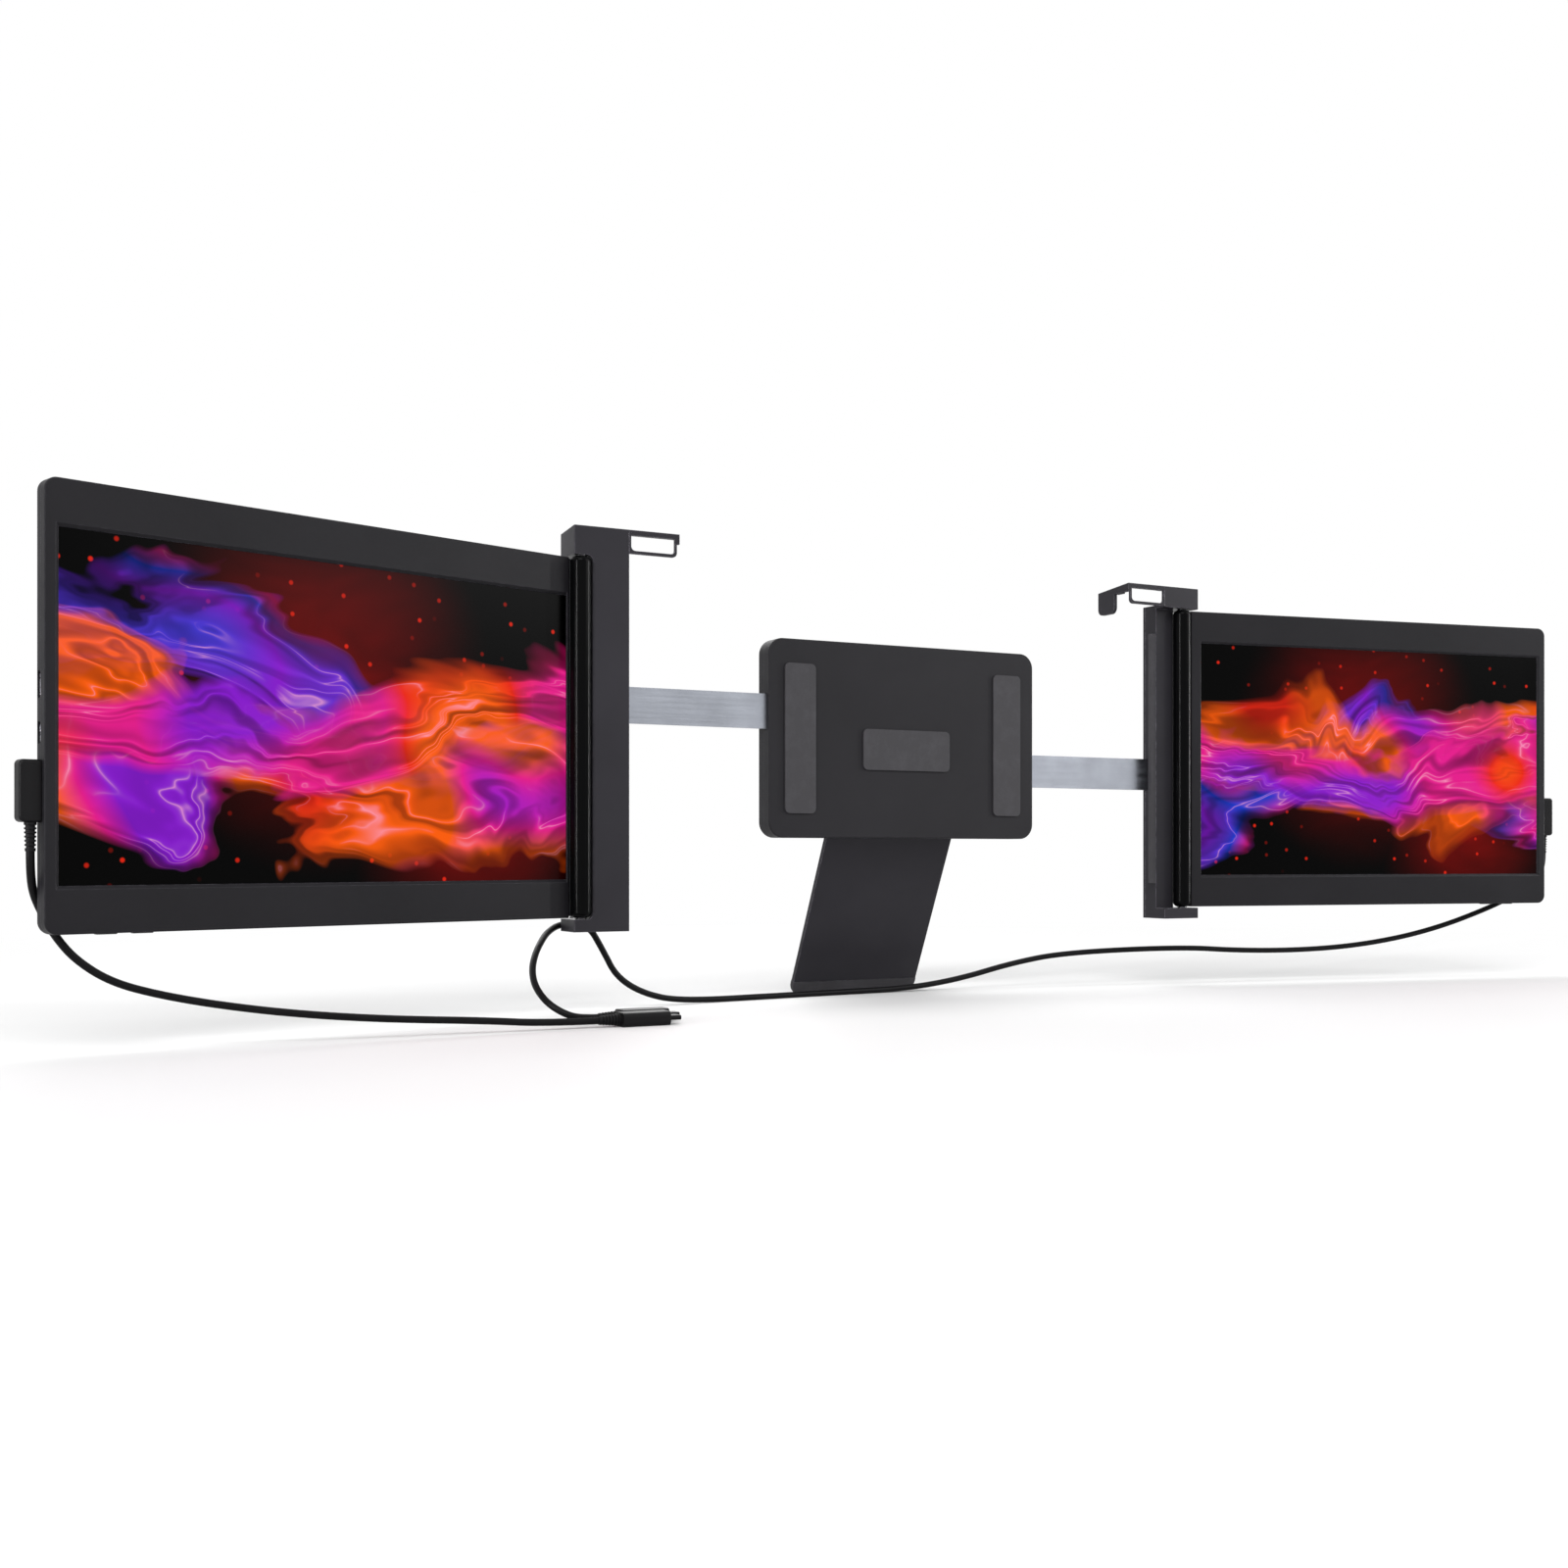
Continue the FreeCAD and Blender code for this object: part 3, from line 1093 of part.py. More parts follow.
def right_cable_outer():
    start = boot_end("right")
    points = [start,
              start + Vector(0, 0, -8.5),
              Vector(487.3, -52.0, -77.3),
              Vector(483.5, -44.5, -85.8),
              Vector(471.5, -36.5, -94.3),
              Vector(451.2, -29.5, -102.9),
              Vector(424.7, -23.5, -111.4),
              Vector(393.1, -16.5, -118.8),
              Vector(355.3, -8.0, -124.2),
              Vector(313.7, 0.5, -126.5),
              Vector(267.0, 8.0, -125.9),
              Vector(223.0, 15.0, -122.8),
              Vector(180.0, 21.5, -123.8)]
    return tube("right_cable_outer", points)


def right_cable_middle():
    points = [Vector(180.0, 21.5, -123.8),
              Vector(137.0, 28.0, -124.8),
              Vector(98.0, 32.4, -130.8),
              Vector(61.0, 34.0, -139.3),
              Vector(22.0, 33.5, -143.9),
              Vector(-22.0, 31.0, -144.25),
              Vector(-65.0, 27.0, -144.25),
              Vector(-106.0, 22.0, -144.25)]
    return tube("right_cable_middle", points)


def right_cable_inner():
    end = far_end("right")
    points = [Vector(-106.0, 22.0, -144.25),
              Vector(-138.8, 18.0, -144.25),
              Vector(-163.0, 15.3, -139.0),
              Vector(-180.0, 13.8, -129.0),
              Vector(-188.5, 12.5, -114.0),
              Vector(-198.0, CLIP_Y, CLIP_Z),
              Vector(-213.5, CLIP_Y, CLIP_Z),
              Vector(-223.5, 3.5, -102.5),
              Vector(-231.5, -8.0, -107.0),
              Vector(-240.0, -21.5, -113.5),
              Vector(-246.0, -34.0, -120.3),
              Vector(-249.0, -46.5, -127.3),
              Vector(-247.5, -58.0, -134.3),
              Vector(-241.5, -64.5, -139.5),
              Vector(-233.5, -67.0, -142.5),
              end]
    return tube("right_cable_inner", points)


def make_side(side):
    local = {"front_bezel": front_bezel(side),
             "rear_cover": rear_cover(side),
             "lcd_panel": lcd_panel(side),
             "backlight_tray": backlight_tray(side),
             "driver_board": driver_board(side),
             "sockets": sockets(side),
             "power_button": button(side, "power"),
             "menu_button": button(side, "menu"),
             "hinge_barrel": hinge_barrel(side),
             "hinge_leaf": hinge_leaf(side),
             "cover_screws": cover_screws(side),
             "cable_plug": plug_body(side),
             "cable_boot": plug_boot(side)}
    pieces = {name: place_monitor(shape, side) for name, shape in local.items()}
    pieces["hinge_pin"] = hinge_pin(side)
    pieces["friction_washers"] = friction_washers(side)
    pieces["bracket_casing"] = bracket_casing(side)
    pieces["bracket_cover"] = bracket_cover(side)
    pieces["bracket_screws"] = bracket_screws(side)
    pieces["hook_arm"] = hook_arm(side)
    pieces["lid_pads"] = lid_pads(side)
    pieces["slide_arm"] = slide_arm(side)
    pieces["return_spring"] = return_spring(side)
    pieces["far_plug"] = far_plug(side)
    pieces["far_boot"] = far_boot(side)
    return {side + "_" + name: shape for name, shape in pieces.items()}


def make_centre():
    return {"housing_front": housing_front(),
            "housing_rear": housing_rear(),
            "guide_blocks": guide_blocks(),
            "housing_pads": housing_pads(),
            "housing_screws": housing_screws(),
            "kickstand": kickstand(),
            "kickstand_foot": kickstand_foot(),
            "kickstand_pin": kickstand_pin(),
            "left_cable": left_cable(),
            "right_cable_outer": right_cable_outer(),
            "right_cable_middle": right_cable_middle(),
            "right_cable_inner": right_cable_inner()}


def main():
    os.makedirs("parts", exist_ok=True)
    pieces = {}
    for side in SIDES:
        pieces.update(make_side(side))
    pieces.update(make_centre())
    for name, shape in sorted(pieces.items()):
        print(name, "solids", len(shape.Solids), "valid", shape.isValid(), "volume", round(shape.Volume, 1))
        shape.exportStep("parts/" + name + ".step")


main()
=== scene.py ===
import math

import bpy
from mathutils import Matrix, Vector


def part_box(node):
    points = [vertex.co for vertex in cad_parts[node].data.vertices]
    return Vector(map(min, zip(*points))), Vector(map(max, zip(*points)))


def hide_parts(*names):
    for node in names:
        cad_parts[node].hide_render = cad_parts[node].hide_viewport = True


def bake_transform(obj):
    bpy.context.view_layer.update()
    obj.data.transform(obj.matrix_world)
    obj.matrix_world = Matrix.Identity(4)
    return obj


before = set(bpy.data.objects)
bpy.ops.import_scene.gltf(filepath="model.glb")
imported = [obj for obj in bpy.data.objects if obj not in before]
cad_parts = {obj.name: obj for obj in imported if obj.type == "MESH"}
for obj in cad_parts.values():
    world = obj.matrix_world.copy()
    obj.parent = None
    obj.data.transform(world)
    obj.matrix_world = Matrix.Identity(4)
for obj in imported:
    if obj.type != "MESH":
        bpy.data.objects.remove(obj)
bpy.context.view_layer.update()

# ---------------------------------------------------------------- measures, in metres

DESK_Z = -0.146
SCREEN_WIDTH = 0.2657
SCREEN_HEIGHT = 0.1494
LEFT_TURN = math.radians(17.3)
RIGHT_TURN = math.radians(10.3)
LEFT_HINGE = Vector((-0.2116, -0.0135, 0.0))
RIGHT_HINGE = Vector((0.20304, -0.00874, 0.0))
# Along each monitor, from its hinge to the left end of its picture
LEFT_PICTURE_END = 0.2720
RIGHT_PICTURE_START = 0.0126
CABLE_DIAMETER = 0.0035

# ---------------------------------------------------------------- cable routes

LEFT_ROUTE = (
    (-0.48336, -0.08861, -0.0603),
    (-0.48336, -0.08861, -0.0688),
    (-0.4818, -0.0825, -0.0782),
    (-0.4778, -0.0791, -0.0870),
    (-0.4731, -0.0792, -0.0961),
    (-0.4651, -0.0793, -0.1063),
    (-0.4512, -0.0796, -0.1161),
    (-0.4314, -0.0800, -0.1224),
    (-0.4049, -0.0804, -0.1281),
    (-0.3720, -0.0808, -0.1332),
    (-0.3322, -0.0813, -0.1372),
    (-0.2848, -0.0818, -0.1400),
    (-0.2570, -0.0820, -0.1425),
    (-0.2290, -0.0820, -0.1425),
)
RIGHT_OUTER_ROUTE = (
    (0.48710, -0.05696, -0.0603),
    (0.48710, -0.05696, -0.0688),
    (0.4873, -0.0520, -0.0773),
    (0.4835, -0.0445, -0.0858),
    (0.4715, -0.0365, -0.0943),
    (0.4512, -0.0295, -0.1029),
    (0.4247, -0.0235, -0.1114),
    (0.3931, -0.0165, -0.1188),
    (0.3553, -0.0080, -0.1242),
    (0.3137, 0.0005, -0.1265),
    (0.2670, 0.0080, -0.1259),
    (0.2230, 0.0150, -0.1228),
    (0.1800, 0.0215, -0.1238),
)
RIGHT_MIDDLE_ROUTE = (
    (0.1800, 0.0215, -0.1238),
    (0.1370, 0.0280, -0.1248),
    (0.0980, 0.0324, -0.1308),
    (0.0610, 0.0340, -0.1393),
    (0.0220, 0.0335, -0.1439),
    (-0.0220, 0.0310, -0.14425),
    (-0.0650, 0.0270, -0.14425),
    (-0.1060, 0.0220, -0.14425),
)
RIGHT_INNER_ROUTE = (
    (-0.1060, 0.0220, -0.14425),
    (-0.1388, 0.0180, -0.14425),
    (-0.1630, 0.0153, -0.1390),
    (-0.1800, 0.0138, -0.1290),
    (-0.1885, 0.0125, -0.1140),
    (-0.1980, 0.0115, -0.0990),
    (-0.2135, 0.0115, -0.0990),
    (-0.2235, 0.0035, -0.1025),
    (-0.2315, -0.0080, -0.1070),
    (-0.2400, -0.0215, -0.1135),
    (-0.2460, -0.0340, -0.1203),
    (-0.2490, -0.0465, -0.1273),
    (-0.2475, -0.0580, -0.1343),
    (-0.2415, -0.0645, -0.1395),
    (-0.2335, -0.0670, -0.1425),
    (-0.2230, -0.0670, -0.1425),
)


# ---------------------------------------------------------------- camera

SENSOR_WIDTH = 36.0
LENS = 39.15
LENS_SHIFT = 0.0452
CAMERA_PLACE = (-0.5405, -0.857, -0.0618)
CAMERA_TURN = math.radians(-28.1)


def make_camera():
    """A level camera with its lens shifted."""
    data = bpy.data.cameras.new("camera")
    data.sensor_width = SENSOR_WIDTH
    data.lens = LENS
    data.shift_y = LENS_SHIFT
    camera = bpy.data.objects.new("camera", data)
    camera.location = CAMERA_PLACE
    camera.rotation_euler = (math.radians(90), 0.0, CAMERA_TURN)
    bpy.context.scene.collection.objects.link(camera)
    bpy.context.scene.camera = camera


# ---------------------------------------------------------------- material helper

# The sockets of a mix node that hold colours
MIX_FIRST = 6
MIX_SECOND = 7
MIX_RESULT = 2


class Graph:
    """A material's node tree, with short calls for the nodes that the finishes share."""

    def __init__(self, name):
        self.material = bpy.data.materials.new(name)
        self.material.use_nodes = True
        self.tree = self.material.node_tree
        self.shader = self.tree.nodes["Principled BSDF"]
        self.place = self.node("ShaderNodeTexCoord").outputs["Object"]

    def node(self, kind, **settings):
        made = self.tree.nodes.new(kind)
        for key, value in settings.items():
            setattr(made, key, value)
        return made

    def feed(self, socket, value):
        if isinstance(value, bpy.types.NodeSocket):
            self.tree.links.new(value, socket)
        else:
            socket.default_value = value

    def shade(self, **values):
        for key, value in values.items():
            self.feed(self.shader.inputs[key.replace("_", " ")], value)

    def math(self, operation, first, second=0.0, third=0.0):
        made = self.node("ShaderNodeMath", operation=operation)
        for socket, value in zip(made.inputs, (first, second, third)):
            self.feed(socket, value)
        return made.outputs[0]

    def stretched(self, stretch):
        made = self.node("ShaderNodeMapping")
        self.feed(made.inputs["Vector"], self.place)
        made.inputs["Scale"].default_value = stretch
        return made.outputs[0]

    def noise(self, scale, detail=2.0, stretch=None, rough=0.5, twist=0.0):
        made = self.node("ShaderNodeTexNoise")
        self.feed(made.inputs["Vector"], self.stretched(stretch) if stretch else self.place)
        made.inputs["Scale"].default_value = scale
        made.inputs["Detail"].default_value = detail
        made.inputs["Roughness"].default_value = rough
        made.inputs["Distortion"].default_value = twist
        return made.outputs["Fac"]

    def cells(self, scale, feature="F1", output="Distance", stretch=None):
        made = self.node("ShaderNodeTexVoronoi", feature=feature)
        self.feed(made.inputs["Vector"], self.stretched(stretch) if stretch else self.place)
        made.inputs["Scale"].default_value = scale
        return made.outputs[output]

    def spread(self, value, low, high, to_low, to_high):
        made = self.node("ShaderNodeMapRange")
        settings = (value, low, high, to_low, to_high)
        for socket, setting in zip(made.inputs, settings):
            self.feed(socket, setting)
        return made.outputs[0]

    def mix(self, share, first, second, way="MIX"):
        made = self.node("ShaderNodeMix", data_type="RGBA", blend_type=way)
        self.feed(made.inputs[0], share)
        self.feed(made.inputs[MIX_FIRST], first)
        self.feed(made.inputs[MIX_SECOND], second)
        return made.outputs[MIX_RESULT]

    def blend_of(self, value, *stops):
        """A colour ramp. Each stop is its place and its colour."""
        made = self.node("ShaderNodeValToRGB")
        self.feed(made.inputs[0], value)
        marks = made.color_ramp.elements
        while len(marks) < len(stops):
            marks.new(1.0)
        for mark, (spot, colour) in zip(marks, stops):
            mark.position = spot
            mark.color = colour
        return made.outputs[0]

    def edges(self, radius, reach):
        """Near 1 along sharp outer edges and 0 on flats, from how much a rounded edge would turn."""
        soft = self.node("ShaderNodeBevel", samples=4)
        soft.inputs["Radius"].default_value = radius
        flat = self.node("ShaderNodeNewGeometry")
        turn = self.node("ShaderNodeVectorMath", operation="DOT_PRODUCT")
        self.feed(turn.inputs[0], soft.outputs[0])
        self.feed(turn.inputs[1], flat.outputs["Normal"])
        return self.spread(turn.outputs["Value"], 1.0, 1.0 - reach, 0.0, 1.0), soft.outputs[0]

    def bump(self, height, depth, normal=None):
        made = self.node("ShaderNodeBump")
        made.inputs["Distance"].default_value = depth
        self.feed(made.inputs["Height"], height)
        if normal is not None:
            self.feed(made.inputs["Normal"], normal)
        return made.outputs[0]


def shade_of(value, tint=(1.0, 1.0, 1.0)):
    """A grey of this value, tinted."""
    return (value * tint[0], value * tint[1], value * tint[2], 1.0)


# ---------------------------------------------------------------- plastics

# Tints: what each channel of a grey is multiplied by
NEUTRAL = (1.0, 0.96, 1.08)
COOL = (0.95, 1.0, 1.12)
PLUM = (1.0, 0.95, 1.13)


def moulded(name, value, tint, roughness, grain, depth, specular=0.3, wear_and_highlight=2.0):
    """A moulded plastic: spark-eroded grain, cloudy tone and roughness, and edges paler and smoother. The
    paler edges are partly wear and partly a painted highlight along the rounded edges; the last argument sets
    how pale they turn.
    """
    graph = Graph(name)
    edge_mask, soft_normal = graph.edges(0.0005, 0.12)
    patchy = graph.noise(260.0, 3.0)
    edge_mask = graph.math("MULTIPLY", edge_mask, graph.spread(patchy, 0.35, 0.75, 0.15, 1.0))
    cloud = graph.noise(14.0, 3.0)
    clouded = graph.spread(cloud, 0.3, 0.7, 0.0, 1.0)
    plain = graph.mix(clouded, shade_of(value * 0.86, tint), shade_of(value * 1.14, tint))
    # Paler edges: partly wear, partly a painted highlight standing in for the shine on rounded edges
    colour = graph.mix(edge_mask, plain, shade_of(value * wear_and_highlight, tint))
    handled = graph.noise(38.0, 4.0, rough=0.6)
    rough = graph.spread(handled, 0.3, 0.7, roughness - 0.05, roughness + 0.06)
    rough = graph.math("SUBTRACT", rough, graph.math("MULTIPLY", edge_mask, 0.08))
    coarse = graph.noise(grain, 2.0)
    fine = graph.noise(grain * 2.7, 1.0)
    height = graph.math("ADD", coarse, graph.math("MULTIPLY", fine, 0.5))
    graph.shade(Base_Color=colour, Roughness=rough, Normal=graph.bump(height, depth, soft_normal))
    graph.shade(Specular_IOR_Level=specular)
    return graph.material


def glossy_black():
    """The polished edge over the hinge: fine wiping marks and a few finger smudges in a clear gloss."""
    graph = Graph("barrel_gloss")
    edge_mask, soft_normal = graph.edges(0.0004, 0.12)
    smudge = graph.noise(46.0, 4.0, rough=0.65, twist=0.6)
    rough = graph.spread(smudge, 0.45, 0.75, 0.14, 0.26)
    wiping = graph.noise(900.0, 1.0, stretch=(1.0, 1.0, 0.03))
    colour = graph.mix(edge_mask, shade_of(0.0015, COOL), shade_of(0.02, COOL))
    graph.shade(Base_Color=colour, Roughness=rough, Normal=graph.bump(wiping, 0.000004, soft_normal))
    graph.shade(Specular_IOR_Level=0.04)
    return graph.material


def rubber(name, value, tint, roughness, grain, specular=0.3, bloom=1.5):
    """A soft rubber: matte, with a pale bloom in patches and a faintly pebbled skin."""
    graph = Graph(name)
    dust = graph.noise(90.0, 5.0, rough=0.7)
    dusty = graph.spread(dust, 0.45, 0.75, 0.0, 1.0)
    colour = graph.mix(dusty, shade_of(value, tint), shade_of(value * bloom, tint))
    rough = graph.spread(dust, 0.3, 0.7, roughness - 0.06, roughness + 0.06)
    pebble = graph.noise(grain, 2.0)
    graph.shade(Base_Color=colour, Roughness=rough, Normal=graph.bump(pebble, 0.00002))
    graph.shade(Specular_IOR_Level=specular)
    return graph.material


def waxy(name, value, tint):
    """A slippery white polymer: slightly mottled, with machining lines and rubbed paths."""
    graph = Graph(name)
    mottled = graph.noise(120.0, 3.0)
    rubbed = graph.noise(420.0, 2.0, stretch=(0.1, 1.0, 1.0))
    mottling = graph.spread(mottled, 0.3, 0.7, 0.0, 1.0)
    colour = graph.mix(mottling, shade_of(value, tint), shade_of(value * 0.9, tint))
    colour = graph.mix(graph.spread(rubbed, 0.6, 0.8, 0.0, 0.35), colour, shade_of(0.35, tint))
    graph.shade(Base_Color=colour, Roughness=graph.spread(rubbed, 0.3, 0.7, 0.3, 0.48))
    graph.shade(Normal=graph.bump(rubbed, 0.00001), Subsurface_Weight=0.05)
    return graph.material


# ---------------------------------------------------------------- metals and board


def metal(name, value, tint, roughness, brush, scale=900.0, stain=0.85):
    """A metal with a brushed, rolled or drawn grain.

    The brush is how the grain is drawn out along each axis.
    """
    graph = Graph(name)
    edge_mask, soft_normal = graph.edges(0.0003, 0.12)
    lines = graph.noise(scale, 3.0, stretch=brush)
    patch = graph.noise(60.0, 4.0)
    stained = graph.spread(patch, 0.35, 0.7, 0.0, 1.0)
    colour = graph.mix(stained, shade_of(value, tint), shade_of(value * stain, tint))
    colour = graph.mix(edge_mask, colour, shade_of(min(1.0, value * 1.25), tint))
    rough = graph.spread(lines, 0.3, 0.7, roughness - 0.07, roughness + 0.09)
    normal = graph.bump(lines, 0.000012, soft_normal)
    graph.shade(Base_Color=colour, Metallic=1.0, Roughness=rough, Normal=normal)
    return graph.material


def black_oxide():
    """Blackened screws: dark and oily, with bright steel where a driver has turned in the recess edges."""
    graph = Graph("screw_black")
    edge_mask, soft_normal = graph.edges(0.00022, 0.10)
    patch = graph.noise(900.0, 3.0)
    bare = graph.math("MULTIPLY", edge_mask, graph.spread(patch, 0.4, 0.65, 0.2, 1.0))
    colour = graph.mix(bare, shade_of(0.07, COOL), shade_of(0.42, NEUTRAL))
    turned = graph.noise(1600.0, 2.0)
    graph.shade(Base_Color=colour, Metallic=0.85, Roughness=graph.spread(turned, 0.3, 0.7, 0.28, 0.45))
    graph.shade(Normal=graph.bump(turned, 0.00001, soft_normal))
    return graph.material


def solder_mask():
    """A green board: darker mask over a web of straight copper runs, with small tinned pads."""
    graph = Graph("board_green")
    runs = graph.node("ShaderNodeTexBrick", offset=0.37, squash=0.7)
    graph.feed(runs.inputs["Vector"], graph.place)
    runs.inputs["Scale"].default_value = 190.0
    runs.inputs["Mortar Size"].default_value = 0.035
    runs.inputs["Mortar Smooth"].default_value = 0.2
    pads = graph.cells(420.0)
    over = graph.mix(runs.outputs["Fac"], (0.010, 0.055, 0.026, 1.0), (0.022, 0.115, 0.05, 1.0))
    colour = graph.mix(graph.spread(pads, 0.10, 0.13, 1.0, 0.0), over, (0.55, 0.55, 0.5, 1.0))
    graph.shade(Base_Color=colour, Roughness=graph.spread(pads, 0.0, 0.5, 0.25, 0.4))
    graph.shade(Normal=graph.bump(runs.outputs["Fac"], 0.00003), Specular_IOR_Level=0.5)
    return graph.material


# ---------------------------------------------------------------- lit display

# How many times as wide as high a picture is, for round lights and dots
SCREEN_SHAPE = 1.78
# How far apart the veils of a picture start in their noise
VEIL_STEP = 1.7


def panel_place(graph, corner, turn):
    """Position on a panel: 0 to 1 from its left edge and from its lower edge, as seen from the front."""
    made = graph.node("ShaderNodeMapping", vector_type="TEXTURE")
    graph.feed(made.inputs["Vector"], graph.place)
    made.inputs["Location"].default_value = corner
    made.inputs["Rotation"].default_value = (0.0, 0.0, turn)
    made.inputs["Scale"].default_value = (SCREEN_WIDTH, 1.0, SCREEN_HEIGHT)
    split = graph.node("ShaderNodeSeparateXYZ")
    graph.feed(split.inputs[0], made.outputs[0])
    return split.outputs[0], split.outputs[2]


def on_sheet(graph, across, up):
    """A texture point from two values."""
    made = graph.node("ShaderNodeCombineXYZ")
    graph.feed(made.inputs[0], across)
    graph.feed(made.inputs[1], up)
    return made.outputs[0]


def flow(graph, point, scale, detail=2.0, twist=0.0):
    made = graph.node("ShaderNodeTexNoise", noise_dimensions="2D")
    graph.feed(made.inputs["Vector"], point)
    made.inputs["Scale"].default_value = scale
    made.inputs["Detail"].default_value = detail
    made.inputs["Distortion"].default_value = twist
    return made.outputs["Fac"]


def wave(graph, across, height, swing, turns, start):
    """The height of a soft wave at each place across the panel."""
    angle = graph.math("MULTIPLY_ADD", across, turns * math.tau, start)
    return graph.math("MULTIPLY_ADD", graph.math("SINE", angle), swing, height)


def veil(graph, across, up, line, width, seed):
    """One veil of smoke along a line: its body from 0 to 1, its folds, and its few bright rims."""
    drift = flow(graph, on_sheet(graph, graph.math("ADD", across, seed), up), 2.4, 3.0, 0.5)
    off = graph.math("DIVIDE", graph.math("SUBTRACT", up, line), width)
    off = graph.math("ADD", off, graph.math("MULTIPLY_ADD", drift, 3.2, -1.6))
    body = graph.spread(graph.math("ABSOLUTE", off), 0.6, 1.0, 1.0, 0.0)
    point = on_sheet(graph, graph.math("MULTIPLY_ADD", across, 1.5, seed), graph.math("MULTIPLY", off, 1.3))
    grain = flow(graph, point, 1.6, 1.5, 0.7)
    ridge = graph.math("ABSOLUTE", graph.math("MULTIPLY_ADD", grain, 2.0, -1.0))
    near = graph.math("SUBTRACT", 1.0, ridge)
    fold = graph.math("MULTIPLY_ADD", graph.math("POWER", near, 3.0), 0.95, 0.22)
    crossed = on_sheet(graph, up, graph.math("ADD", across, seed))
    lively = graph.spread(flow(graph, crossed, 5.0), 0.42, 0.6, 0.0, 1.0)
    rim = graph.math("MULTIPLY", graph.math("MULTIPLY", body, lively), graph.math("POWER", near, 60.0))
    return body, fold, rim


def glow(graph, across, up, centre, reach):
    """A soft round light: 1 at its centre and 0 at its reach, wider than it is high."""
    aside = graph.math("MULTIPLY", graph.math("SUBTRACT", across, centre[0]), SCREEN_SHAPE)
    above = graph.math("SUBTRACT", up, centre[1])
    squares = graph.math("ADD", graph.math("POWER", aside, 2.0), graph.math("POWER", above, 2.0))
    away = graph.math("SQRT", squares)
    return graph.spread(away, 0.0, reach, 1.0, 0.0)


def sparks(graph, across, up, scale, size):
    """Small round dots of light, scattered over the picture."""
    made = graph.node("ShaderNodeTexVoronoi", voronoi_dimensions="2D")
    graph.feed(made.inputs["Vector"], on_sheet(graph, graph.math("MULTIPLY", across, SCREEN_SHAPE), up))
    made.inputs["Scale"].default_value = scale
    dot = graph.spread(made.outputs["Distance"], size * 0.5, size, 1.0, 0.0)
    split = graph.node("ShaderNodeSeparateColor")
    graph.feed(split.inputs[0], made.outputs["Color"])
    return graph.math("MULTIPLY", dot, graph.spread(split.outputs[0], 0.55, 1.0, 0.0, 1.0))


EMBER = (0.30, 0.003, 0.002, 1.0)
BLACK = (0.0, 0.0, 0.0, 1.0)
ORANGE = (1.0, 0.115, 0.002, 1.0)
SCARLET = (0.86, 0.022, 0.006, 1.0)
MAGENTA = (0.80, 0.012, 0.26, 1.0)
VIOLET = (0.24, 0.010, 0.62, 1.0)
BLUE = (0.010, 0.045, 0.62, 1.0)
ROSE = (1.0, 0.42, 0.62, 1.0)


def picture(name, corner, turn, start, veils):
    """A display with veils of coloured smoke over a dark red glow.

    Each veil has its line, its size and its colours.
    """
    graph = Graph(name)
    across, up = panel_place(graph, corner, turn)
    main_glow = glow(graph, across, up, (0.46, 0.66), 0.66)
    low_glow = glow(graph, across, up, (0.78, 0.2), 0.5)
    lit = graph.math("MAXIMUM", main_glow, low_glow)
    cloud = flow(graph, on_sheet(graph, across, up), 3.5, 3.0, 0.3)
    lit = graph.math("MULTIPLY", graph.math("POWER", lit, 1.8), graph.spread(cloud, 0.3, 0.7, 0.4, 1.0))
    colour = graph.mix(lit, BLACK, EMBER)
    dots = graph.math("MULTIPLY", sparks(graph, across, up, 11.0, 0.10), 0.8)
    colour = graph.mix(dots, colour, SCARLET)
    for height, swing, turns, width, tones in veils:
        line = wave(graph, across, height, swing, turns, start)
        body, fold, rim = veil(graph, across, up, line, width, start)
        sheet = on_sheet(graph, graph.math("ADD", across, start), graph.math("MULTIPLY", up, 0.7))
        tint = flow(graph, sheet, 2.3, 1.0)
        tone = graph.blend_of(graph.spread(tint, 0.28, 0.72, 0.0, 1.0), *tones)
        smoke = graph.mix(fold, BLACK, tone)
        colour = graph.mix(graph.math("MULTIPLY", body, 0.94), colour, smoke)
        colour = graph.mix(graph.math("MULTIPLY", rim, 0.6), colour, ROSE)
        start += VEIL_STEP
    graph.shade(Base_Color=BLACK, Emission_Color=colour, Emission_Strength=1.0, Roughness=0.22)
    graph.shade(Specular_IOR_Level=0.04)
    return graph.material


WARM_TONES = ((0.0, SCARLET), (0.3, ORANGE), (0.6, ORANGE), (0.8, MAGENTA), (1.0, VIOLET))
ROSY_TONES = ((0.0, VIOLET), (0.35, MAGENTA), (0.6, MAGENTA), (0.8, SCARLET), (1.0, ORANGE))
COLD_TONES = ((0.0, BLUE), (0.4, VIOLET), (0.65, BLUE), (0.85, MAGENTA), (1.0, VIOLET))


def panel_corner(hinge, across, turn):
    """The lower left corner of a picture, from how far across it lies from the hinge."""
    return hinge + Vector((across * math.cos(turn), across * math.sin(turn), -SCREEN_HEIGHT / 2))


def left_picture():
    veils = (
        (0.60, 0.15, 0.9, 0.17, COLD_TONES),
        (0.42, 0.10, 0.7, 0.24, WARM_TONES),
        (0.50, 0.12, 0.8, 0.15, ROSY_TONES),
    )
    corner = panel_corner(LEFT_HINGE, -LEFT_PICTURE_END, LEFT_TURN)
    return picture("picture_left", corner, LEFT_TURN, 0.4, veils)


def right_picture():
    veils = (
        (0.44, 0.16, 0.8, 0.17, COLD_TONES),
        (0.52, 0.10, 0.9, 0.22, WARM_TONES),
        (0.48, 0.11, 0.7, 0.15, ROSY_TONES),
    )
    corner = panel_corner(RIGHT_HINGE, RIGHT_PICTURE_START, -RIGHT_TURN)
    return picture("picture_right", corner, -RIGHT_TURN, 5.2, veils)


# ---------------------------------------------------------------- finishes of the CAD nodes


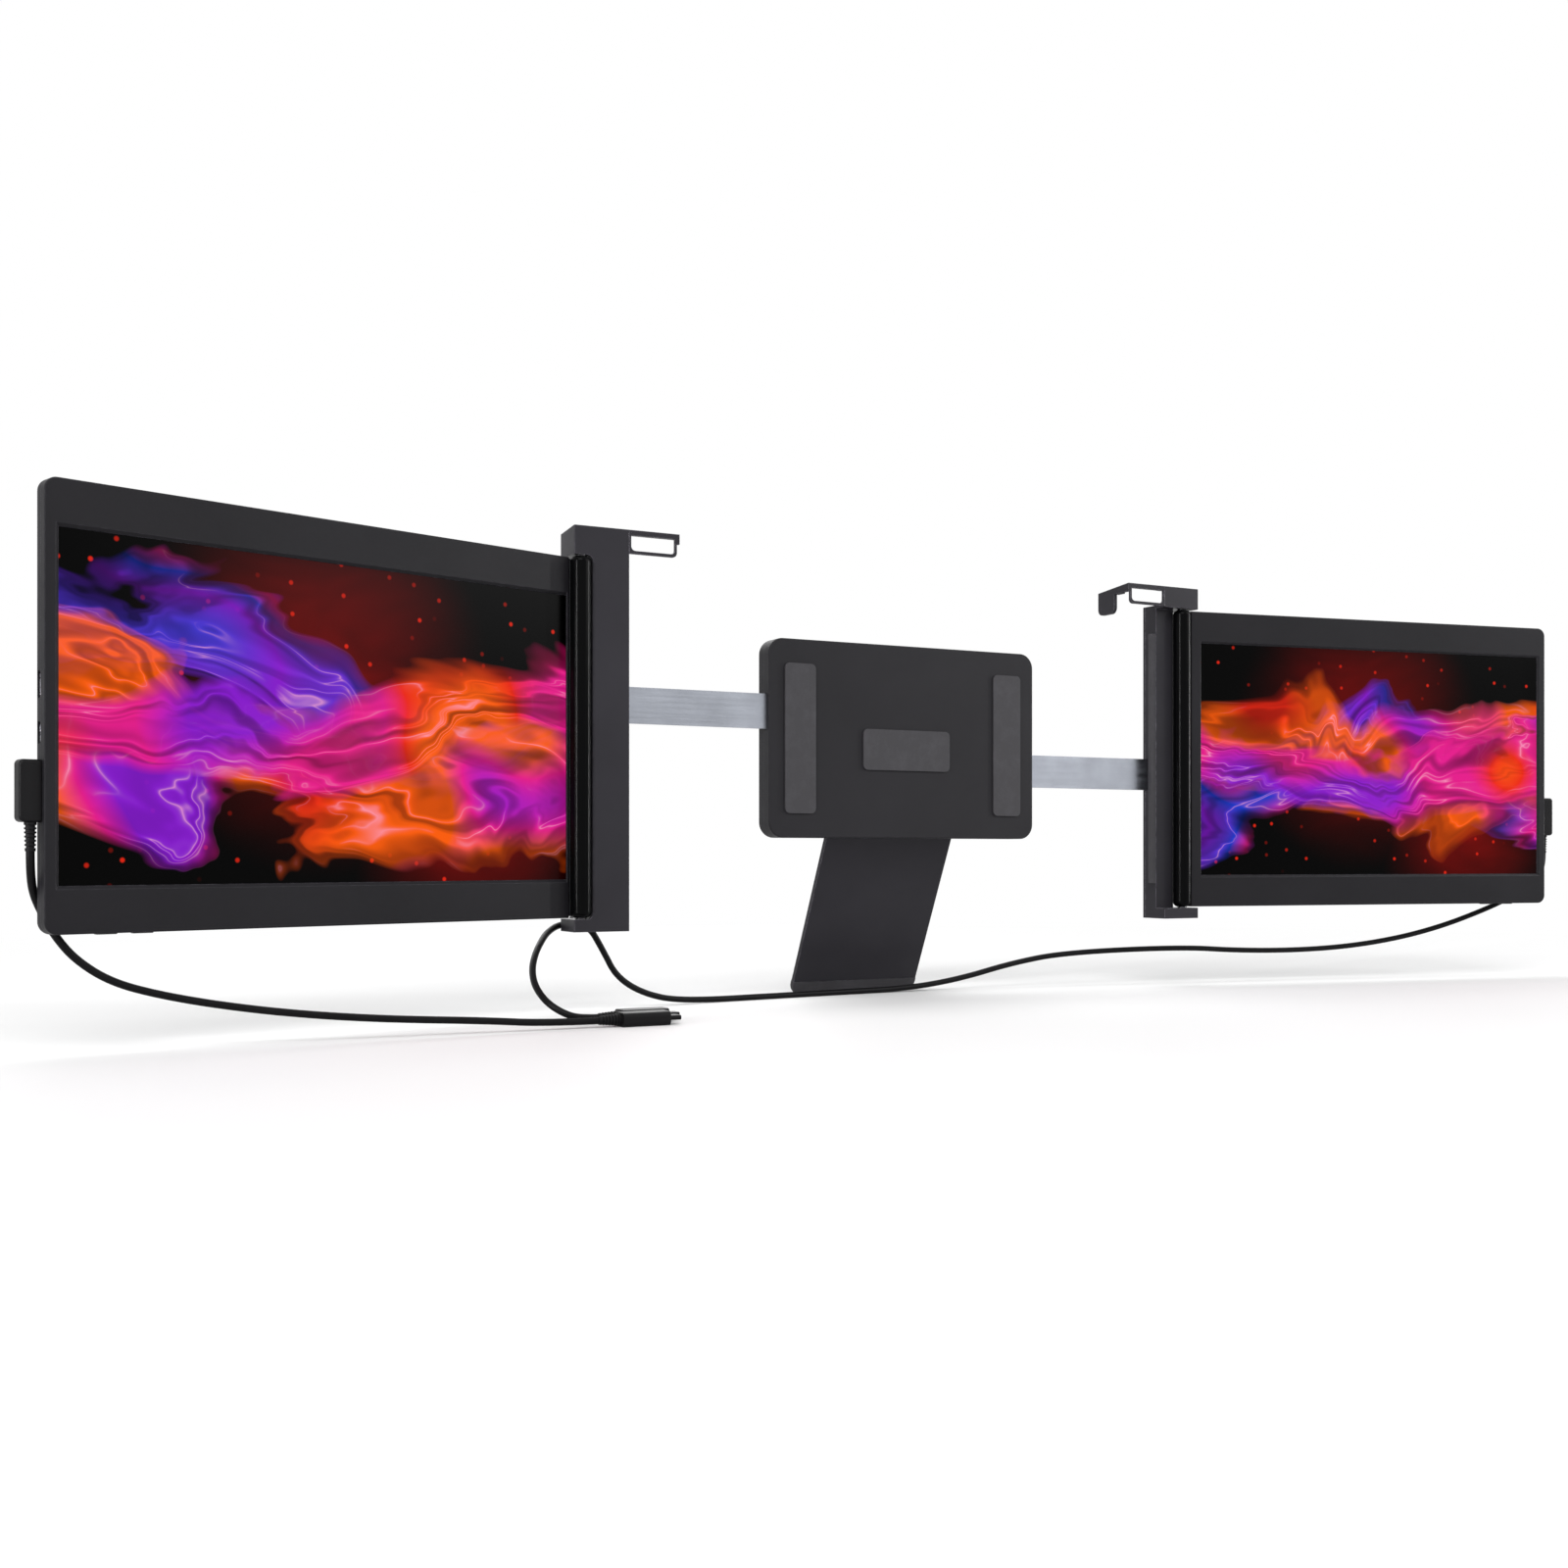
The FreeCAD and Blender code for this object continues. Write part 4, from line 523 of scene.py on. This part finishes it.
def make_finishes():
    """One finish for each material slot of the record."""
    return {
        # The last number given to a moulded finish makes its edges paler: partly wear, partly a painted
        # highlight on the bezel lips, bracket corners and plug edges
        "bezel_plastic": moulded("bezel_charcoal", 0.010, PLUM, 0.44, 2600.0, 0.00002, 0.10, 6.0),
        "shell_plastic": moulded("shell_charcoal", 0.011, PLUM, 0.52, 1900.0, 0.00003, 0.14),
        "bracket_plastic": moulded("bracket_charcoal", 0.021, PLUM, 0.36, 3000.0, 0.000015, 0.10, 10.0),
        "barrel_plastic": glossy_black(),
        "tray_steel": metal("tray_galvanised", 0.62, COOL, 0.38, (1.0, 1.0, 0.05)),
        "pin_steel": metal("pin_ground", 0.60, NEUTRAL, 0.28, (1.0, 1.0, 6.0), 500.0),
        "arm_steel": metal("arm_brushed", 0.34, COOL, 0.36, (0.03, 1.0, 1.0)),
        "screw_steel": black_oxide(),
        "board": solder_mask(),
        "socket_steel": metal("socket_stamped", 0.66, NEUTRAL, 0.30, (1.0, 0.1, 1.0)),
        "key_plastic": moulded("key_satin", 0.014, NEUTRAL, 0.40, 3400.0, 0.00001),
        "washer_polymer": rubber("washer_black", 0.012, NEUTRAL, 0.35, 2600.0),
        "guide_polymer": waxy("guide_white", 0.78, (1.0, 0.99, 0.95)),
        "pad_silicone": rubber("pad_soft", 0.028, NEUTRAL, 0.72, 1500.0),
        "foot_rubber": rubber("foot_soft", 0.028, NEUTRAL, 0.82, 1100.0),
        "spring_steel": metal("spring_wire", 0.52, NEUTRAL, 0.30, (1.0, 1.0, 1.0), 2400.0),
        "plug_plastic": moulded("plug_satin", 0.005, NEUTRAL, 0.34, 3200.0, 0.000012, 0.1, 4.0),
        "boot_rubber": rubber("boot_soft", 0.005, NEUTRAL, 0.42, 2200.0, 0.1),
        "cable_jacket": rubber("jacket_satin", 0.004, NEUTRAL, 0.36, 2600.0, 0.08),
    }


def dress_nodes(finishes):
    pictures = {"left_lcd_panel": left_picture(), "right_lcd_panel": right_picture()}
    for name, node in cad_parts.items():
        for slot in node.material_slots:
            wanted = slot.material.name.split(".")[0]
            slot.material = pictures.get(name) or finishes[wanted]


# ---------------------------------------------------------------- cords


def route_curve(name, route):
    curve = bpy.data.curves.new(name, "CURVE")
    curve.dimensions = "3D"
    curve.resolution_u = 10
    spline = curve.splines.new("NURBS")
    spline.points.add(len(route) - 1)
    for point, place in zip(spline.points, route):
        point.co = (*place, 1.0)
    spline.order_u = 3
    spline.use_endpoint_u = True
    made = bpy.data.objects.new(name + "_line", curve)
    bpy.context.scene.collection.objects.link(made)
    return made


def mesh_of(curve_object):
    bpy.context.view_layer.update()
    graph = bpy.context.evaluated_depsgraph_get()
    return bpy.data.meshes.new_from_object(curve_object.evaluated_get(graph))


def swept_piece(name, line, finish):
    """The mesh of a thickened curve as a smooth piece, in place of the curve."""
    mesh = mesh_of(line)
    bpy.data.objects.remove(line)
    mesh.materials.clear()
    mesh.materials.append(finish)
    for face in mesh.polygons:
        face.use_smooth = True
    piece = bpy.data.objects.new(name, mesh)
    bpy.context.scene.collection.objects.link(piece)
    return piece


def tube_piece(name, route, diameter, finish):
    """A round cable along a route, and the points of its centre line."""
    line = route_curve(name, route)
    path = [tuple(v.co) for v in mesh_of(line).vertices]
    line.data.bevel_depth = diameter / 2
    line.data.bevel_resolution = 5
    line.data.use_fill_caps = True
    return swept_piece(name, line, finish), path


def lay_cable(name, node, route, finish):
    piece, path = tube_piece(name, route, CABLE_DIAMETER, finish)
    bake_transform(piece)
    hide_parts(node)


def lay_cables(finish):
    lay_cable(
        "left_cord", "left_cable", LEFT_ROUTE,
        finish,
    )
    lay_cable(
        "right_cord_outer", "right_cable_outer", RIGHT_OUTER_ROUTE,
        finish,
    )
    lay_cable(
        "right_cord_middle", "right_cable_middle", RIGHT_MIDDLE_ROUTE,
        finish,
    )
    lay_cable(
        "right_cord_inner", "right_cable_inner", RIGHT_INNER_ROUTE,
        finish,
    )


# ---------------------------------------------------------------- return springs

SPRING_RADIUS = 0.00155
SPRING_WIRE = 0.0005
SPRING_TURNS = 24
STEPS_PER_TURN = 16
# Each straight leg, as a share of the spring
LEG_SHARE = 0.06


def coil_points(start, end, level, depth):
    """A drawn-out helix along X with a straight leg at each end."""
    total = SPRING_TURNS * STEPS_PER_TURN
    leg = (end - start) * LEG_SHARE
    yield (start, depth, level)
    for step in range(total + 1):
        angle = math.tau * step / STEPS_PER_TURN
        along = start + leg + (end - start - 2 * leg) * step / total
        yield (along, depth + SPRING_RADIUS * math.cos(angle), level + SPRING_RADIUS * math.sin(angle))
    yield (end, depth, level)


def coil_piece(name, points, finish):
    curve = bpy.data.curves.new(name, "CURVE")
    curve.dimensions = "3D"
    spline = curve.splines.new("POLY")
    spline.points.add(len(points) - 1)
    for point, place in zip(spline.points, points):
        point.co = (*place, 1.0)
    curve.bevel_depth = SPRING_WIRE / 2
    curve.bevel_resolution = 2
    curve.use_fill_caps = True
    line = bpy.data.objects.new(name + "_line", curve)
    bpy.context.scene.collection.objects.link(line)
    return swept_piece(name, line, finish)


def make_spring(side, finish):
    node = side + "_return_spring"
    low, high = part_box(node)
    level, depth = (low.z + high.z) / 2, (low.y + high.y) / 2
    arm_end, housing_end = (low.x, high.x) if side == "left" else (high.x, low.x)
    points = list(coil_points(arm_end, housing_end, level, depth))
    piece = coil_piece(side + "_spring_coil", points, finish)
    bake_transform(piece)
    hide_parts(node)


# ---------------------------------------------------------------- floor, background and lights

FLOOR_SIZE = 16.0
FLOOR_DARKER = (0.665, 0.665, 0.667, 1.0)
FLOOR_LIGHTER = (0.68, 0.68, 0.68, 1.0)
# Seen directly, the floor turns to plain white from the first distance to the second
WHITE_FROM = 0.5
WHITE_AT = 1.05
LEAST_WHITE = 0.02
ROOM_LIGHT = 0.55
WHITE = (1.0, 1.0, 1.0, 1.0)
KEY_POWER = 30.0
FILL_POWER = 14.0
TOP_POWER = 16.0
REAR_POWER = 18.0
LEFT_STRIP_POWER = 55.0
RIGHT_STRIP_POWER = 40.0
STRIP_WIDTH = 0.07
STRIP_HEIGHT = 1.8


def make_floor():
    bpy.ops.mesh.primitive_plane_add(size=FLOOR_SIZE, location=(0.0, 0.0, DESK_Z))
    floor = bpy.context.object
    floor.name = "floor"
    graph = Graph("floor_white")
    soft = graph.noise(3.0, 2.0)
    graph.shade(Base_Color=graph.mix(soft, FLOOR_DARKER, FLOOR_LIGHTER))
    graph.shade(Roughness=0.6, Specular_IOR_Level=0.1)
    light = graph.node("ShaderNodeEmission")
    light.inputs["Strength"].default_value = 1.0
    seen = graph.node("ShaderNodeLightPath")
    away = graph.node("ShaderNodeVectorMath", operation="LENGTH")
    graph.feed(away.inputs[0], graph.stretched((0.9, 1.0, 1.0)))
    share = graph.spread(away.outputs["Value"], WHITE_FROM, WHITE_AT, LEAST_WHITE, 1.0)
    share = graph.math("MULTIPLY", seen.outputs["Is Camera Ray"], share)
    blend = graph.node("ShaderNodeMixShader")
    graph.feed(blend.inputs[0], share)
    graph.feed(blend.inputs[1], graph.shader.outputs[0])
    graph.feed(blend.inputs[2], light.outputs[0])
    graph.feed(graph.tree.nodes["Material Output"].inputs["Surface"], blend.outputs[0])
    floor.data.materials.append(graph.material)


def make_world():
    """A white room: plain white where it is seen or mirrored, and dimmer as a light."""
    world = bpy.data.worlds.new("studio")
    world.use_nodes = True
    bpy.context.scene.world = world
    tree = world.node_tree
    light = tree.nodes["Background"]
    light.inputs["Color"].default_value = WHITE
    light.inputs["Strength"].default_value = ROOM_LIGHT
    white = tree.nodes.new("ShaderNodeBackground")
    white.inputs["Color"].default_value = WHITE
    white.inputs["Strength"].default_value = 1.0
    seen = tree.nodes.new("ShaderNodeLightPath")
    share = seen.outputs["Is Camera Ray"]
    for ray in ("Is Glossy Ray", "Is Transmission Ray"):
        either = tree.nodes.new("ShaderNodeMath")
        either.operation = "MAXIMUM"
        tree.links.new(share, either.inputs[0])
        tree.links.new(seen.outputs[ray], either.inputs[1])
        share = either.outputs[0]
    blend = tree.nodes.new("ShaderNodeMixShader")
    tree.links.new(share, blend.inputs[0])
    tree.links.new(light.outputs[0], blend.inputs[1])
    tree.links.new(white.outputs[0], blend.inputs[2])
    tree.links.new(blend.outputs[0], tree.nodes["World Output"].inputs["Surface"])


def make_lamp(name, place, target, wide, high, energy):
    data = bpy.data.lights.new(name, "AREA")
    data.shape = "RECTANGLE"
    data.size = wide
    data.size_y = high
    data.energy = energy
    lamp = bpy.data.objects.new(name, data)
    lamp.location = place
    lamp.rotation_euler = (Vector(target) - Vector(place)).to_track_quat("-Z", "Y").to_euler()
    bpy.context.scene.collection.objects.link(lamp)


def make_lights():
    """Each lamp has its place and target, its width and height, and its power."""
    middle = (0.0, 0.0, 0.0)
    make_lamp("key", (-0.9, -1.6, 1.5), middle, 1.4, 1.0, KEY_POWER)
    make_lamp("fill", (1.5, -1.2, 0.9), middle, 1.2, 1.2, FILL_POWER)
    make_lamp("top", (0.0, 0.6, 1.8), middle, 1.6, 0.8, TOP_POWER)
    make_lamp("rear", (0.5, 2.4, 1.2), middle, 1.6, 1.0, REAR_POWER)
    left_target, right_target = (-0.21, 0.0, 0.0), (0.2, 0.0, 0.0)
    make_lamp("strip_left", (-2.4, -1.0, 0.0), left_target, STRIP_WIDTH, STRIP_HEIGHT, LEFT_STRIP_POWER)
    make_lamp("strip_right", (2.4, -0.6, 0.0), right_target, STRIP_WIDTH, STRIP_HEIGHT, RIGHT_STRIP_POWER)


# ---------------------------------------------------------------- the scene


def main():
    bpy.context.scene.view_settings.view_transform = "Standard"
    make_camera()
    finishes = make_finishes()
    dress_nodes(finishes)
    lay_cables(finishes["cable_jacket"])
    make_spring("left", finishes["spring_steel"])
    make_spring("right", finishes["spring_steel"])
    make_floor()
    make_world()
    make_lights()


main()
